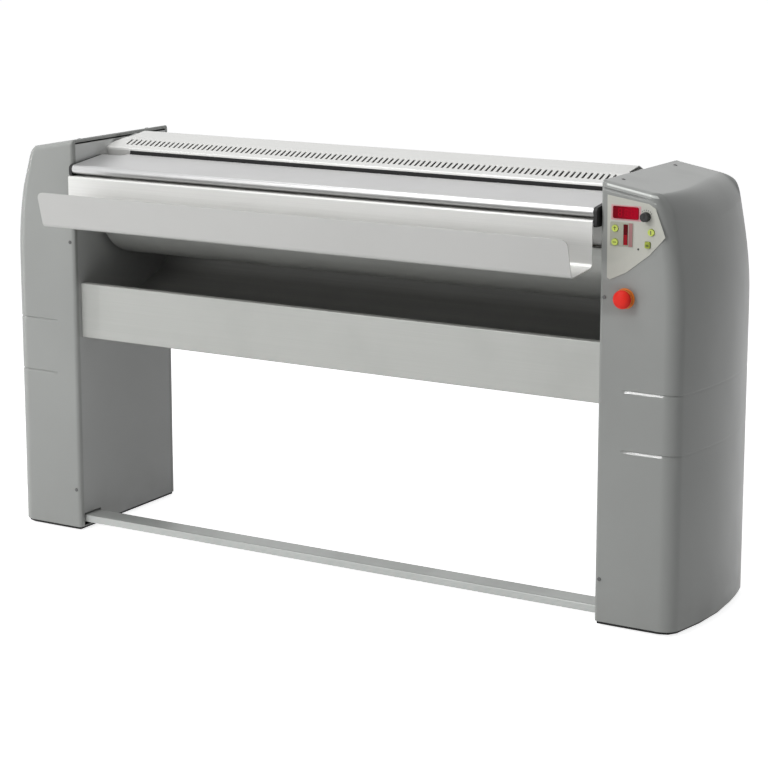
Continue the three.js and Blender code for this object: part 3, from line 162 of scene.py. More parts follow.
class Graph:
    """Node tree of a material or of the world."""

    def __init__(self, tree: bpy.types.NodeTree) -> None:
        """Empties the tree."""
        self.tree = tree
        self.tree.nodes.clear()

    def node(self, kind: str, settings: dict | None = None, inputs: dict | None = None,
             out: int | str = 0) -> Term:
        """Adds a node.

        Args:
            kind: Type name of the node.
            settings: Properties of the node, set before its inputs.
            inputs: Values or links by socket name or number.
            out: Output that is wanted.

        Returns:
            The wanted output.
        """
        made = self.tree.nodes.new(kind)
        for key, value in (settings or {}).items():
            setattr(made, key, value)
        for key, value in (inputs or {}).items():
            if isinstance(value, Term):
                self.tree.links.new(value.socket, made.inputs[key])
            else:
                made.inputs[key].default_value = value
        return Term(self, made.outputs[out] if len(made.outputs) else None)

    def place(self) -> Term:
        """Object coordinates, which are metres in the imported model's frame."""
        return self.node("ShaderNodeTexCoord", out="Object")

    def axes(self) -> tuple[Term, Term, Term]:
        """The three object coordinates as separate values."""
        split = self.node("ShaderNodeSeparateXYZ", inputs={0: self.place()})
        outputs = split.socket.node.outputs
        return Term(self, outputs[0]), Term(self, outputs[1]), Term(self, outputs[2])

    def noise(self, scale: float | Point, detail: float = 2.0, rough: float = 0.5) -> Term:
        """Noise over the object's own space.

        Args:
            scale: Cells per metre, one number or one for each axis.
            detail: Octaves.
            rough: Weight of the finer octaves.

        Returns:
            A value about 0.5.
        """
        steps = (scale, scale, scale) if isinstance(scale, (int, float)) else scale
        spread = self.node("ShaderNodeVectorMath", {"operation": "MULTIPLY"},
                           {0: self.place(), 1: steps})
        return self.node("ShaderNodeTexNoise", {"noise_dimensions": "3D"}, {
            "Vector": spread, "Scale": 1.0, "Detail": detail, "Roughness": rough})

    def mix(self, first: Value, second: Value, factor: Value) -> Term:
        """Blends two colours.

        Args:
            first: Colour where the factor is 0.
            second: Colour where the factor is 1.
            factor: Share of the second.

        Returns:
            The blended colour.
        """
        colours = [value if isinstance(value, Term) else (*value, 1.0) for value in
                   (first, second)]
        return self.node("ShaderNodeMix", {"data_type": "RGBA"},
                         {0: factor, 6: colours[0], 7: colours[1]}, out=2)

    def bump(self, height: Value, distance: float, strength: float = 1.0) -> Term:
        """Normal of a raised pattern.

        Args:
            height: Height of the pattern, 0 to 1.
            distance: Metres that a height of 1 stands for.
            strength: Share of the effect.

        Returns:
            The normal.
        """
        return self.node("ShaderNodeBump", inputs={
            "Height": height, "Distance": distance, "Strength": strength})


def linear(colour: Colour) -> Colour:
    """Turns a colour as seen on a screen, 0 to 1, into the renderer's linear values."""
    return tuple(c / 12.92 if c <= 0.04045 else ((c + 0.055) / 1.055) ** 2.4 for c in colour)


def shaded(colour: Colour, share: float) -> Colour:
    """A linear colour made lighter or darker by a share."""
    return tuple(max(0.0, min(1.0, c * (1.0 + share))) for c in colour)


# ---------------------------------------------------------------- finishes
DUST = (0.56, 0.55, 0.53)
DUST_HEIGHT = 0.16  # metres above the floor where dust begins
# Painted light: paint gets lighter towards the top, where more light falls.
TOP_LIGHT_SPAN = (0.84, 1.0)  # metres between which paint gets lighter upwards
STAIN = (0.80, 0.74, 0.62)


@dataclass(frozen=True)
class Finish:
    """A surface finish.

    Attributes:
        name: Name of the material.
        colour: Colour as seen on a screen.
        roughness: Middle roughness.
        metallic: 0 for paint and plastic, 1 for bare metal.
    """

    name: str
    colour: Colour
    roughness: float = 0.5
    metallic: float = 0.0

    def surface(self, graph: Graph) -> dict[str, Value]:
        """Sockets of the shader that this finish sets."""
        raise NotImplementedError

    def material(self) -> bpy.types.Material:
        """The finish as a material, made once.

        Returns:
            The material.
        """
        name = f"{self.name}_finish"
        known = bpy.data.materials.get(name)
        if known is not None:
            return known
        made = bpy.data.materials.new(name)
        made.use_nodes = True
        made.diffuse_color = (*linear(self.colour), 1.0)
        graph = Graph(made.node_tree)
        sockets = {"Metallic": self.metallic, **self.surface(graph)}
        shader = graph.node("ShaderNodeBsdfPrincipled", inputs=sockets)
        graph.node("ShaderNodeOutputMaterial", inputs={"Surface": shader})
        return made


@dataclass(frozen=True)
class PaintedHighlight:
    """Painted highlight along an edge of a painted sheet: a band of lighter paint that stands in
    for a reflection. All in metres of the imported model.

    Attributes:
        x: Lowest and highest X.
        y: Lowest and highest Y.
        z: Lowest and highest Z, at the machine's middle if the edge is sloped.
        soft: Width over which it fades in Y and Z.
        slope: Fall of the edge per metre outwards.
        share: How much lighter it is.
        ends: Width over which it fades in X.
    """

    x: Pair
    y: Pair
    z: Pair
    soft: float = 0.001
    slope: float = 0.0
    share: float = 1.4
    ends: float = 0.006

    def mask(self, graph: "Graph") -> Term:
        """1 on the edge and 0 off it."""
        x, y, z = graph.axes()
        level = (x.size() - INNER * MM) * self.slope + z
        found = None
        for place, (low, high), soft in ((x, self.x, self.ends), (y, self.y, self.soft),
                                         (level, self.z, self.soft)):
            band = place.ramp(low, low + soft) * place.ramp(high, high - soft)
            found = band if found is None else found * band
        return found


@dataclass(frozen=True)
class Paint(Finish):
    """Powder coat: fine orange peel, faint clouds, dust that settles low down.

    Attributes:
        peel: Depth of the orange peel in metres.
        dust: Share of dust near the floor.
        gloss: Weight of the glossy top layer.
        lighter: How much lighter the colour is high up, painted light where more light falls.
        painted_highlights: Edges with a painted highlight, lighter paint that stands in for a
            reflection.
    """

    peel: float = 0.00006
    dust: float = 0.12
    gloss: float = 0.32
    lighter: float = 0.0
    painted_highlights: tuple[PaintedHighlight, ...] = ()

    def surface(self, graph: Graph) -> dict[str, Value]:
        """Sockets of the shader that this finish sets."""
        base = linear(self.colour)
        cloud = graph.noise(2.2, 3.0)
        speck = graph.noise(950.0, 1.0)
        coat = graph.mix(shaded(base, -0.035), shaded(base, 0.035), cloud.ramp(0.3, 0.7))
        coat = graph.mix(coat, shaded(base, 0.10), speck.ramp(0.62, 0.8) * 0.5)
        height = graph.axes()[2]
        low = height.ramp(DUST_HEIGHT, 0.0) * graph.noise(14.0, 4.0).ramp(0.35, 0.75)
        coat = graph.mix(coat, linear(DUST), low * self.dust)
        # Painted light: lighter paint high up, where more light falls.
        if self.lighter:
            coat = graph.mix(coat, shaded(base, self.lighter), height.ramp(*TOP_LIGHT_SPAN))
        # Painted highlights: lighter paint along edges, standing in for reflections.
        for overlay in self.painted_highlights:
            coat = graph.mix(coat, shaded(base, overlay.share), overlay.mask(graph))
        handled = graph.noise((9.0, 9.0, 5.0), 3.0).ramp(0.4, 0.75)
        peel = graph.noise(310.0, 2.0)
        return {
            "Base Color": coat,
            "Roughness": handled * 0.07 + low * 0.15 + (self.roughness - 0.03),
            "Normal": graph.bump(peel, self.peel, 0.6),
            "Coat Weight": self.gloss,
            "Coat Roughness": 0.10,
            "Specular IOR Level": 0.2,
        }


@dataclass(frozen=True)
class Steel(Finish):
    """Sheet steel: brushed streaks along the grain, faint hand marks and cloudy patches.

    Attributes:
        grain: Direction of the brushing.
        streak: Strength of the streaks in the colour.
        smudge: Strength of the hand marks in the roughness.
        front_shade: How much darker the colour is at the front, painted shade where less light
            falls.
        front_shade_from: Y in metres where the painted shade ends.
    """

    metallic: float = 0.85
    grain: Grain = Grain.ALONG_X
    streak: float = 0.035
    smudge: float = 0.10
    front_shade: float = 0.0
    front_shade_from: float = -0.19

    def surface(self, graph: Graph) -> dict[str, Value]:
        """Sockets of the shader that this finish sets."""
        base = linear(self.colour)
        fine = graph.noise(self.grain.value, 3.0, 0.65)
        broad = graph.noise(tuple(step / 9.0 for step in self.grain.value), 2.0)
        lines = fine * 0.65 + broad * 0.35
        metal = graph.mix(shaded(base, -self.streak), shaded(base, self.streak),
                          lines.ramp(0.32, 0.68))
        patch = graph.noise(6.0, 4.0).ramp(0.45, 0.72)
        metal = graph.mix(metal, shaded(base, -0.05), patch * 0.5)
        # Painted shade: the front of the sheet is darker, where less light falls.
        if self.front_shade:
            front = graph.axes()[1].ramp(self.front_shade_from, self.front_shade_from - 0.05)
            metal = graph.mix(metal, shaded(base, -self.front_shade), front)
        return {
            "Base Color": metal,
            "Roughness": patch * self.smudge + lines * 0.10 + (self.roughness - 0.06),
            "Normal": graph.bump(fine, 0.00001, 0.5),
        }


@dataclass(frozen=True)
class Zinc(Finish):
    """Zinc plate: small crystals with slightly different shades."""

    metallic: float = 0.9

    def surface(self, graph: Graph) -> dict[str, Value]:
        """Sockets of the shader that this finish sets."""
        base = linear(self.colour)
        spread = graph.node("ShaderNodeVectorMath", {"operation": "MULTIPLY"},
                            {0: graph.place(), 1: (230.0, 230.0, 230.0)})
        cells = graph.node("ShaderNodeTexVoronoi", {"feature": "F1"},
                           {"Vector": spread, "Scale": 1.0}, out="Distance")
        dull = graph.noise(25.0, 3.0).ramp(0.35, 0.75)
        shade = graph.mix(shaded(base, -0.09), shaded(base, 0.06), cells.ramp(0.1, 0.8))
        return {
            "Base Color": graph.mix(shade, shaded(base, -0.18), dull * 0.6),
            "Roughness": dull * 0.16 + (self.roughness - 0.05),
            "Normal": graph.bump(cells, 0.00002, 0.4),
        }


@dataclass(frozen=True)
class Cast(Finish):
    """Cast or oiled iron: grainy skin, darker in the hollows.

    Attributes:
        coarse: Grains per metre.
        depth: Height of the grain in metres.
    """

    metallic: float = 0.6
    coarse: float = 420.0
    depth: float = 0.00025

    def surface(self, graph: Graph) -> dict[str, Value]:
        """Sockets of the shader that this finish sets."""
        base = linear(self.colour)
        grit = graph.noise(self.coarse, 4.0, 0.6)
        oil = graph.noise(18.0, 3.0).ramp(0.4, 0.7)
        iron = graph.mix(shaded(base, -0.25), shaded(base, 0.15), grit.ramp(0.3, 0.7))
        return {
            "Base Color": graph.mix(iron, shaded(base, -0.4), oil * 0.5),
            "Roughness": grit * 0.15 + (self.roughness - 0.05) - oil * 0.12,
            "Normal": graph.bump(grit, self.depth, 0.7),
        }


@dataclass(frozen=True)
class Moulded(Finish):
    """Moulded plastic: spark-eroded grain, faint gloss changes and dust on it.

    Attributes:
        grain: Grains per metre.
        depth: Height of the grain in metres.
        shine: Level of the plain reflection, 0.5 for common plastic.
    """

    grain: float = 1500.0
    depth: float = 0.00005
    shine: float = 0.4

    def surface(self, graph: Graph) -> dict[str, Value]:
        """Sockets of the shader that this finish sets."""
        base = linear(self.colour)
        grain = graph.noise(self.grain, 2.0)
        wear = graph.noise(35.0, 4.0).ramp(0.4, 0.75)
        tone = graph.mix(shaded(base, -0.06), shaded(base, 0.08), grain.ramp(0.3, 0.7))
        dusty = tuple(c + 0.02 for c in base)
        return {
            "Base Color": graph.mix(tone, dusty, wear * 0.35),
            "Roughness": wear * 0.12 + grain * 0.06 + (self.roughness - 0.06),
            "Normal": graph.bump(grain, self.depth, 0.5),
            "Specular IOR Level": self.shine,
        }


@dataclass(frozen=True)
class Cloth(Finish):
    """Woven padding cover: plain weave wound round the roller.

    Attributes:
        threads: Threads per metre.
    """

    threads: float = 700.0

    def surface(self, graph: Graph) -> dict[str, Value]:
        """Sockets of the shader that this finish sets."""
        base = linear(self.colour)
        turn = 2.0 * math.pi * self.threads
        along, depth, height = graph.axes()
        angle = graph.node("ShaderNodeMath", {"operation": "ARCTAN2"},
                           {0: height - ROLLER_HEIGHT * MM,
                            1: depth - (ROLLER_DEPTH * MM + FRONT_PLANE)})
        warp = graph.node("ShaderNodeMath", {"operation": "SINE"}, {0: along * turn})
        weft = graph.node("ShaderNodeMath", {"operation": "SINE"},
                          {0: angle * (turn * (ROLLER_RADIUS * MM))})
        weave = (warp * weft).ramp(-1.0, 1.0)
        stain = graph.noise((3.0, 8.0, 8.0), 4.0).ramp(0.45, 0.75)
        tone = graph.mix(shaded(base, -0.16), base, weave)
        return {
            "Base Color": graph.mix(tone, linear(STAIN), stain * 0.25),
            "Roughness": stain * 0.05 + self.roughness,
            "Normal": graph.bump(weave, 0.0003, 0.6),
            "Sheen Weight": 0.25,
            "Sheen Roughness": 0.5,
        }


@dataclass(frozen=True)
class Film(Finish):
    """Printed film: faint emboss, fine texture, slightly uneven gloss.

    Attributes:
        shift: Change of tone from the film's top to its bottom.
        span: Lowest and highest Z of the film in metres.
    """

    shift: float = 0.04
    span: Pair = (0.79, 0.98)

    def surface(self, graph: Graph) -> dict[str, Value]:
        """Sockets of the shader that this finish sets."""
        base = linear(self.colour)
        height = graph.axes()[2].ramp(*self.span)
        print_dots = graph.noise(2600.0, 1.0)
        tone = graph.mix(shaded(base, -self.shift), shaded(base, self.shift), height)
        tone = graph.mix(tone, shaded(base, -0.06), print_dots.ramp(0.5, 0.7) * 0.5)
        overlay = graph.noise(60.0, 3.0).ramp(0.4, 0.7)
        return {
            "Base Color": tone,
            "Roughness": overlay * 0.12 + (self.roughness - 0.05),
            "Normal": graph.bump(print_dots, 0.00001, 0.4),
            "Specular IOR Level": 0.2,
        }


@dataclass(frozen=True)
class Lamp(Finish):
    """Tinted window or lamp that glows a little.

    Attributes:
        glow: Strength of the light it gives.
        centre: X in metres where it is brightest.
        reach: Metres over which the brightness falls.
    """

    glow: float = 0.15
    centre: float = 0.785
    reach: float = 0.04

    def surface(self, graph: Graph) -> dict[str, Value]:
        """Sockets of the shader that this finish sets."""
        base = linear(self.colour)
        across = (graph.axes()[0] - self.centre).size().ramp(0.0, self.reach)
        haze = graph.noise(420.0, 2.0)
        tone = graph.mix(base, shaded(base, -0.55), across)
        tone = graph.mix(tone, shaded(base, 0.25), haze.ramp(0.5, 0.8) * 0.4)
        return {
            "Base Color": tone,
            "Roughness": haze * 0.08 + (self.roughness - 0.04),
            "Emission Color": tone,
            "Emission Strength": self.glow,
            "Specular IOR Level": 0.06,
        }


# Painted highlights on the right cabinet: lighter paint along the lid's front edge and along the
# lip below its seam, standing in for reflections.
LID_EDGE_HIGHLIGHT = PaintedHighlight((0.735, 0.872), (-0.1422, -0.1315), (1.0005, 1.0075), 0.002, 0.18, 1.5)
SEAM_LIP_HIGHLIGHT = PaintedHighlight((0.735, 0.868), (-0.1422, -0.1390), (0.9875, 0.9925), 0.002, 0.18, 1.1)
GREY_PAINT = Paint("cabinet_paint", (0.600, 0.607, 0.597), 0.42, dust=0.15,
                   painted_highlights=(LID_EDGE_HIGHLIGHT, SEAM_LIP_HIGHLIGHT))
# The inner plates are painted lighter towards their top: painted light.
INNER_PAINT = Paint("inner_plate_paint", (0.67, 0.675, 0.67), 0.5, dust=0.2, lighter=0.55)
# The tray's front lip is painted darker: painted shade.
TRAY_STEEL = Steel("tray_steel", (0.87, 0.87, 0.86), 0.42, 0.3, front_shade=0.36)
COVER_STEEL = Steel("cover_steel", (0.86, 0.86, 0.85), 0.42, 0.3)
GUARD_STEEL = Steel("guard_steel", (0.76, 0.76, 0.76), 0.32, 0.65, smudge=0.06, streak=0.02)
APRON_STEEL = Steel("apron_steel", (0.68, 0.685, 0.67), 0.45, 0.3)
BAR_STEEL = Steel("foot_bar_steel", (0.70, 0.71, 0.70), 0.42, 0.4)
REAR_STEEL = Steel("rear_steel", (0.74, 0.745, 0.74), 0.48, 0.6, grain=Grain.ALONG_Z)
# The chute is given darker steel than the other sheets: painted shade of the cavity under the
# feed tray.
CHUTE_SHADED_STEEL = Steel("dark_sheet", (0.60, 0.60, 0.59), 0.50, 0.2, streak=0.08)
CHEST_STEEL = Steel("chest_steel", (0.80, 0.80, 0.79), 0.25, 0.9, streak=0.02)
TUBE_STEEL = Steel("tube_steel", (0.70, 0.70, 0.70), 0.4, 0.9)
ZINC = Zinc("zinc_plate", (0.72, 0.72, 0.71), 0.36)
SCREW_ZINC = Zinc("screw_zinc", (0.40, 0.40, 0.40), 0.5, 0.5)
DARK_STEEL = Cast("dark_steel", (0.30, 0.30, 0.31), 0.45, 0.8, coarse=900.0, depth=0.00006)
CAST_IRON = Cast("cast_iron", (0.36, 0.37, 0.38), 0.62, 0.5)
BLACK_PLASTIC = Moulded("black_plastic", (0.06, 0.06, 0.065), 0.5)
# Black for the strip in the gap behind the finger guard: painted shade.
GAP_SHADE_BLACK = Moulded("gap_shade_black", (0.035, 0.035, 0.04), 0.7, grain=900.0)
RUBBER = Moulded("foot_rubber", (0.06, 0.06, 0.06), 0.8, grain=700.0, depth=0.0001)
KNOB_BLACK = Moulded("knob_black", (0.05, 0.05, 0.055), 0.32)
STOP_RED = Moulded("stop_red", (0.96, 0.20, 0.16), 0.40, shine=0.15)
STOP_YELLOW = Moulded("stop_yellow", (0.92, 0.55, 0.24), 0.45)
LIME = Moulded("button_lime", (0.80, 0.86, 0.40), 0.42)
LIME_DEEP = Moulded("button_olive", (0.62, 0.67, 0.22), 0.42)
OLIVE = Moulded("button_mark", (0.36, 0.40, 0.12), 0.5)
MARK_GREY = Moulded("dial_mark", (0.22, 0.22, 0.23), 0.55)
MOTOR_GREY = Paint("motor_paint", (0.38, 0.40, 0.42), 0.5, peel=0.0003, dust=0.0)
BOX_GREY = Paint("box_paint", (0.56, 0.58, 0.59), 0.52, peel=0.0002, dust=0.0)
PADDING = Cloth("padding_cloth", (0.90, 0.88, 0.82), 0.92)
PANEL_FILM = Film("panel_film", (0.79, 0.79, 0.755), 0.42)
LEVEL_FILM = Film("level_film", (0.69, 0.69, 0.63), 0.4, span=(0.869, 0.922))
FRAME_FILM = Film("display_frame", (0.86, 0.64, 0.66), 0.35, span=(0.92, 0.97))
PINK_FILM = Film("level_strip", (0.66, 0.48, 0.48), 0.4, span=(0.869, 0.922))
DISPLAY = Lamp("display_window", (0.64, 0.0, 0.13), 0.3, glow=0.12, centre=0.812, reach=0.058)
SEGMENT = Lamp("display_segment", (0.69, 0.01, 0.135), 0.3, glow=0.12, reach=0.2)
LED = Lamp("level_led", (0.60, 0.10, 0.14), 0.3, glow=0.2, centre=0.78, reach=0.3)
LED_DARK = Lamp("level_led_dark", (0.36, 0.05, 0.08), 0.3, glow=0.1, centre=0.78, reach=0.3)


# ---------------------------------------------------------------- shaping
MERGED = 0.02  # millimetres within which corners of a CAD node are one
FLAT = 0.6  # degrees within which its faces are joined up


@dataclass(frozen=True)
class Edge:
    """How the edges of a finished piece are softened.

    Attributes:
        width: Width of the bevel in millimetres.
        segments: Faces across the bevel.
        sharp: Edges turning more than this, in degrees, are softened.
    """

    width: float = 0.5
    segments: int = 2
    sharp: float = 35.0


class Form:
    """A mesh being shaped with bmesh operators, in millimetres of the cabinets' frame."""

    def __init__(self) -> None:
        """Starts with an empty mesh."""
        self.bm = bmesh.new()

    @classmethod
    def of_node(cls, node: str) -> "Form":
        """Copies a CAD node.

        Args:
            node: Name of the node.

        Returns:
            Its shape with doubles merged and flat areas joined up.
        """
        form = cls()
        form.bm.from_mesh(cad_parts[node].data)
        bmesh.ops.transform(form.bm, matrix=PACKED.inverted(), verts=form.bm.verts)
        bmesh.ops.remove_doubles(form.bm, verts=form.bm.verts, dist=MERGED)
        bmesh.ops.dissolve_limit(form.bm, angle_limit=math.radians(FLAT), verts=form.bm.verts,
                                 edges=form.bm.edges)
        return form

    def wire(self, points: Iterable[Point]) -> list[bmesh.types.BMEdge]:
        """Draws a line from point to point.

        Args:
            points: Its corners.

        Returns:
            The line's edges in order.
        """
        edges = []
        last = None
        for point in points:
            if last is None:
                last = self.bm.verts.new(point)
                continue
            made = bmesh.ops.extrude_vert_indiv(self.bm, verts=[last])
            last = made["verts"][0]
            last.co = Vector(point)
            edges.append(made["edges"][0])
        return edges

    def swept(self, edges: Sequence[bmesh.types.BMEdge], offset: Point) -> None:
        """Extrudes a line sideways.

        Args:
            edges: The line.
            offset: How far.
        """
        made = bmesh.ops.extrude_edge_only(self.bm, edges=edges)["geom"]
        moved = [part for part in made if isinstance(part, bmesh.types.BMVert)]
        bmesh.ops.translate(self.bm, verts=moved, vec=offset)

    def block(self, low: Point, high: Point, bevel: float = 0.0) -> None:
        """Adds a box.

        Args:
            low: Its lowest corner.
            high: Its highest corner.
            bevel: Rounding of its edges.
        """
        a, b = Vector(low), Vector(high)
        matrix = Matrix.Translation((a + b) / 2.0) @ Matrix.Diagonal((*(b - a), 1.0))
        made = bmesh.ops.create_cube(self.bm, size=1.0, matrix=matrix)["verts"]
        if bevel:
            edges = {edge for vert in made for edge in vert.link_edges}
            bmesh.ops.bevel(self.bm, geom=list(edges), offset=bevel, offset_type="OFFSET",
                            segments=2, profile=0.5, affect="EDGES", material=-1)

    def turned(self, profile: Sequence[Pair], base: Point, axis: Point, steps: int = 48) -> None:
        """Spins a profile into a round shape.

        Args:
            profile: Radius and distance along the axis of each corner.
            base: Point on the axis from which the distances count.
            axis: Direction of the axis.
            steps: Faces round it.
        """
        along = Vector(axis).normalized()
        side = along.orthogonal().normalized()
        middle = Vector(base)
        edges = self.wire([middle + side * radius + along * way for radius, way in profile])
        verts = {vert for edge in edges for vert in edge.verts}
        bmesh.ops.spin(self.bm, geom=list(verts) + edges, cent=middle, axis=along,
                       dvec=(0.0, 0.0, 0.0), angle=2.0 * math.pi, steps=steps, use_merge=True,
                       use_duplicate=False)
        bmesh.ops.remove_doubles(self.bm, verts=self.bm.verts, dist=0.001)
        bmesh.ops.recalc_face_normals(self.bm, faces=self.bm.faces)

    def trimmed(self, point: Point, way: Point) -> None:
        """Cuts off everything beyond a plane and closes the cut.

        Args:
            point: Point on the plane.
            way: Direction of the side that goes.
        """
        bm = self.bm
        cut = bmesh.ops.bisect_plane(bm, geom=[*bm.verts, *bm.edges, *bm.faces], dist=0.01,
                                     plane_co=point, plane_no=way, clear_outer=True)["geom_cut"]
        rim = [part for part in cut if isinstance(part, bmesh.types.BMEdge)]
        bmesh.ops.holes_fill(bm, edges=rim, sides=0)

    def flip_left(self) -> None:
        """Mirrors the shape into the left cabinet."""
        bmesh.ops.scale(self.bm, vec=(-1.0, 1.0, 1.0), verts=self.bm.verts)
        bmesh.ops.reverse_faces(self.bm, faces=self.bm.faces)

    def finished(self, name: str, body: Body, finish: Finish, slot: str,
                 replaces: Sequence[str] = (), wall: float = 0.0, edge: Edge | None = None
                 ) -> bpy.types.Object:
        """Turns the form into a dressed piece that rides on its body.

        Args:
            name: Name of the piece.
            body: Body it moves with.
            finish: Its finish.
            slot: Slot of the record that the finish belongs to; not used.
            replaces: CAD nodes that it stands for.
            wall: Thickness given to a sheet, on the side away from its faces.
            edge: Softening of its edges.

        Returns:
            The piece.
        """
        bmesh.ops.transform(self.bm, matrix=PACKED, verts=self.bm.verts)
        mesh = bpy.data.meshes.new(name)
        self.bm.to_mesh(mesh)
        self.bm.free()
        mesh.shade_smooth()
        softening = edge or Edge()
        mesh.set_sharp_from_angle(angle=math.radians(softening.sharp))
        mesh.materials.append(finish.material())
        piece = bpy.data.objects.new(name, mesh)
        bpy.context.scene.collection.objects.link(piece)
        if wall:
            thick = piece.modifiers.new("wall", "SOLIDIFY")
            thick.thickness = wall * MM
            thick.offset = -1.0
            thick.thickness_clamp = 1.0
            thick.use_even_offset = False
        if softening.width:
            soft = piece.modifiers.new("edge", "BEVEL")
            soft.width = softening.width * MM
            soft.segments = softening.segments
            soft.limit_method = "ANGLE"
            soft.angle_limit = math.radians(softening.sharp)
            soft.profile = 0.5
        even = piece.modifiers.new("even", "WEIGHTED_NORMAL")
        even.weight = 60
        even.keep_sharp = True
        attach(piece, body.value)
        if replaces:
            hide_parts(*replaces)
        log.info("%s on %s, %d faces", name, body.value, len(mesh.polygons))
        return piece


def dressed(finish: Finish, *nodes: str) -> None:
    """Gives CAD nodes a finish.

    Args:
        finish: The finish.
        nodes: Names of the nodes.
    """
    for node in nodes:
        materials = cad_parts[node].data.materials
        materials.clear()
        materials.append(finish.material())
        log.info("%s dressed in %s", node, finish.name)


def refined(node: str, body: Body, finish: Finish, slot: str, edge: Edge) -> None:
    """Makes a softened copy of a CAD node and lets it stand for the node.

    Args:
        node: Name of the node.
        body: Body it moves with.
        finish: Its finish.
        slot: Slot of the record.
        edge: Softening of its edges.
    """
    Form.of_node(node).finished(f"{node}_shell", body, finish, slot, (node,), edge=edge)


def spot(node: str) -> tuple[Vector, Vector]:
    """Lowest and highest corner of a CAD node in the cabinets' frame."""
    low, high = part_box(node)
    return PACKED.inverted() @ Vector(low), PACKED.inverted() @ Vector(high)


def arc(centre: Pair, radius: float, start: float, end: float, steps: int) -> list[Pair]:
    """Points on an arc.

    Args:
        centre: Its centre.
        radius: Its radius.
        start: First angle in degrees.
        end: Last angle in degrees.
        steps: Number of steps.

    Returns:
        The points from first to last.
    """
    angles = [math.radians(start + (end - start) * i / steps) for i in range(steps + 1)]
    return [(centre[0] + radius * math.cos(a), centre[1] + radius * math.sin(a)) for a in angles]


# ---------------------------------------------------------------- side cabinets
# Steps down a cover's sheet and the share of the full depth there; the groove's steps count from
# its middle for a groove PROFILE_WIDTH wide, the seam's from the start of the top's rounding.
PROFILE_WIDTH = 9.0
GROOVE_PROFILE = ((-5.2, 0.0), (-3.8, 0.0), (-3.5, 0.06), (1.2, 0.94), (1.6, 1.0), (2.2, 0.9),
                  (3.4, 0.1), (4.6, 0.0))
SEAM_PROFILE = ((9.0, 0.0), (6.5, 0.25), (4.6, 0.9), (3.4, 2.2), (2.6, 2.4), (1.8, 0.5),
                (1.0, 0.0))
TAPER_RINGS = (0.15, 0.3, 0.45, 0.6, 0.74, 0.86)
FRONT_STOPS = (90.0, 112.0, 134.0)  # X of the plan points across the flat front
SCREW_PROFILE = ((0.0, 0.0), (4.5, 0.0), (4.5, 1.0), (3.9, 1.9), (2.6, 2.35), (1.5, 2.4),
                 (1.5, 1.2), (0.0, 1.2))


def eased(value: float) -> float:
    """Smooth step from 0 to 1."""
    share = max(0.0, min(1.0, value))
    return share * share * (3.0 - 2.0 * share)


@dataclass
class PlanPoint:
    """Point of a cabinet's plan.

    Attributes:
        x: Distance from the inner face.
        y: Depth.
        nx: Outward direction, X.
        ny: Outward direction, Y.
        top: Radius of the top's edge here.
        groove: 1 where the grooves run.
        seam: 1 where the seam under the lid runs.
        dx: From here to the edge of the flat top, X.
        dy: From here to the edge of the flat top, Y.
    """

    x: float
    y: float
    nx: float
    ny: float
    top: float
    groove: float = 1.0
    seam: float = 0.0
    dx: float = 0.0
    dy: float = 0.0


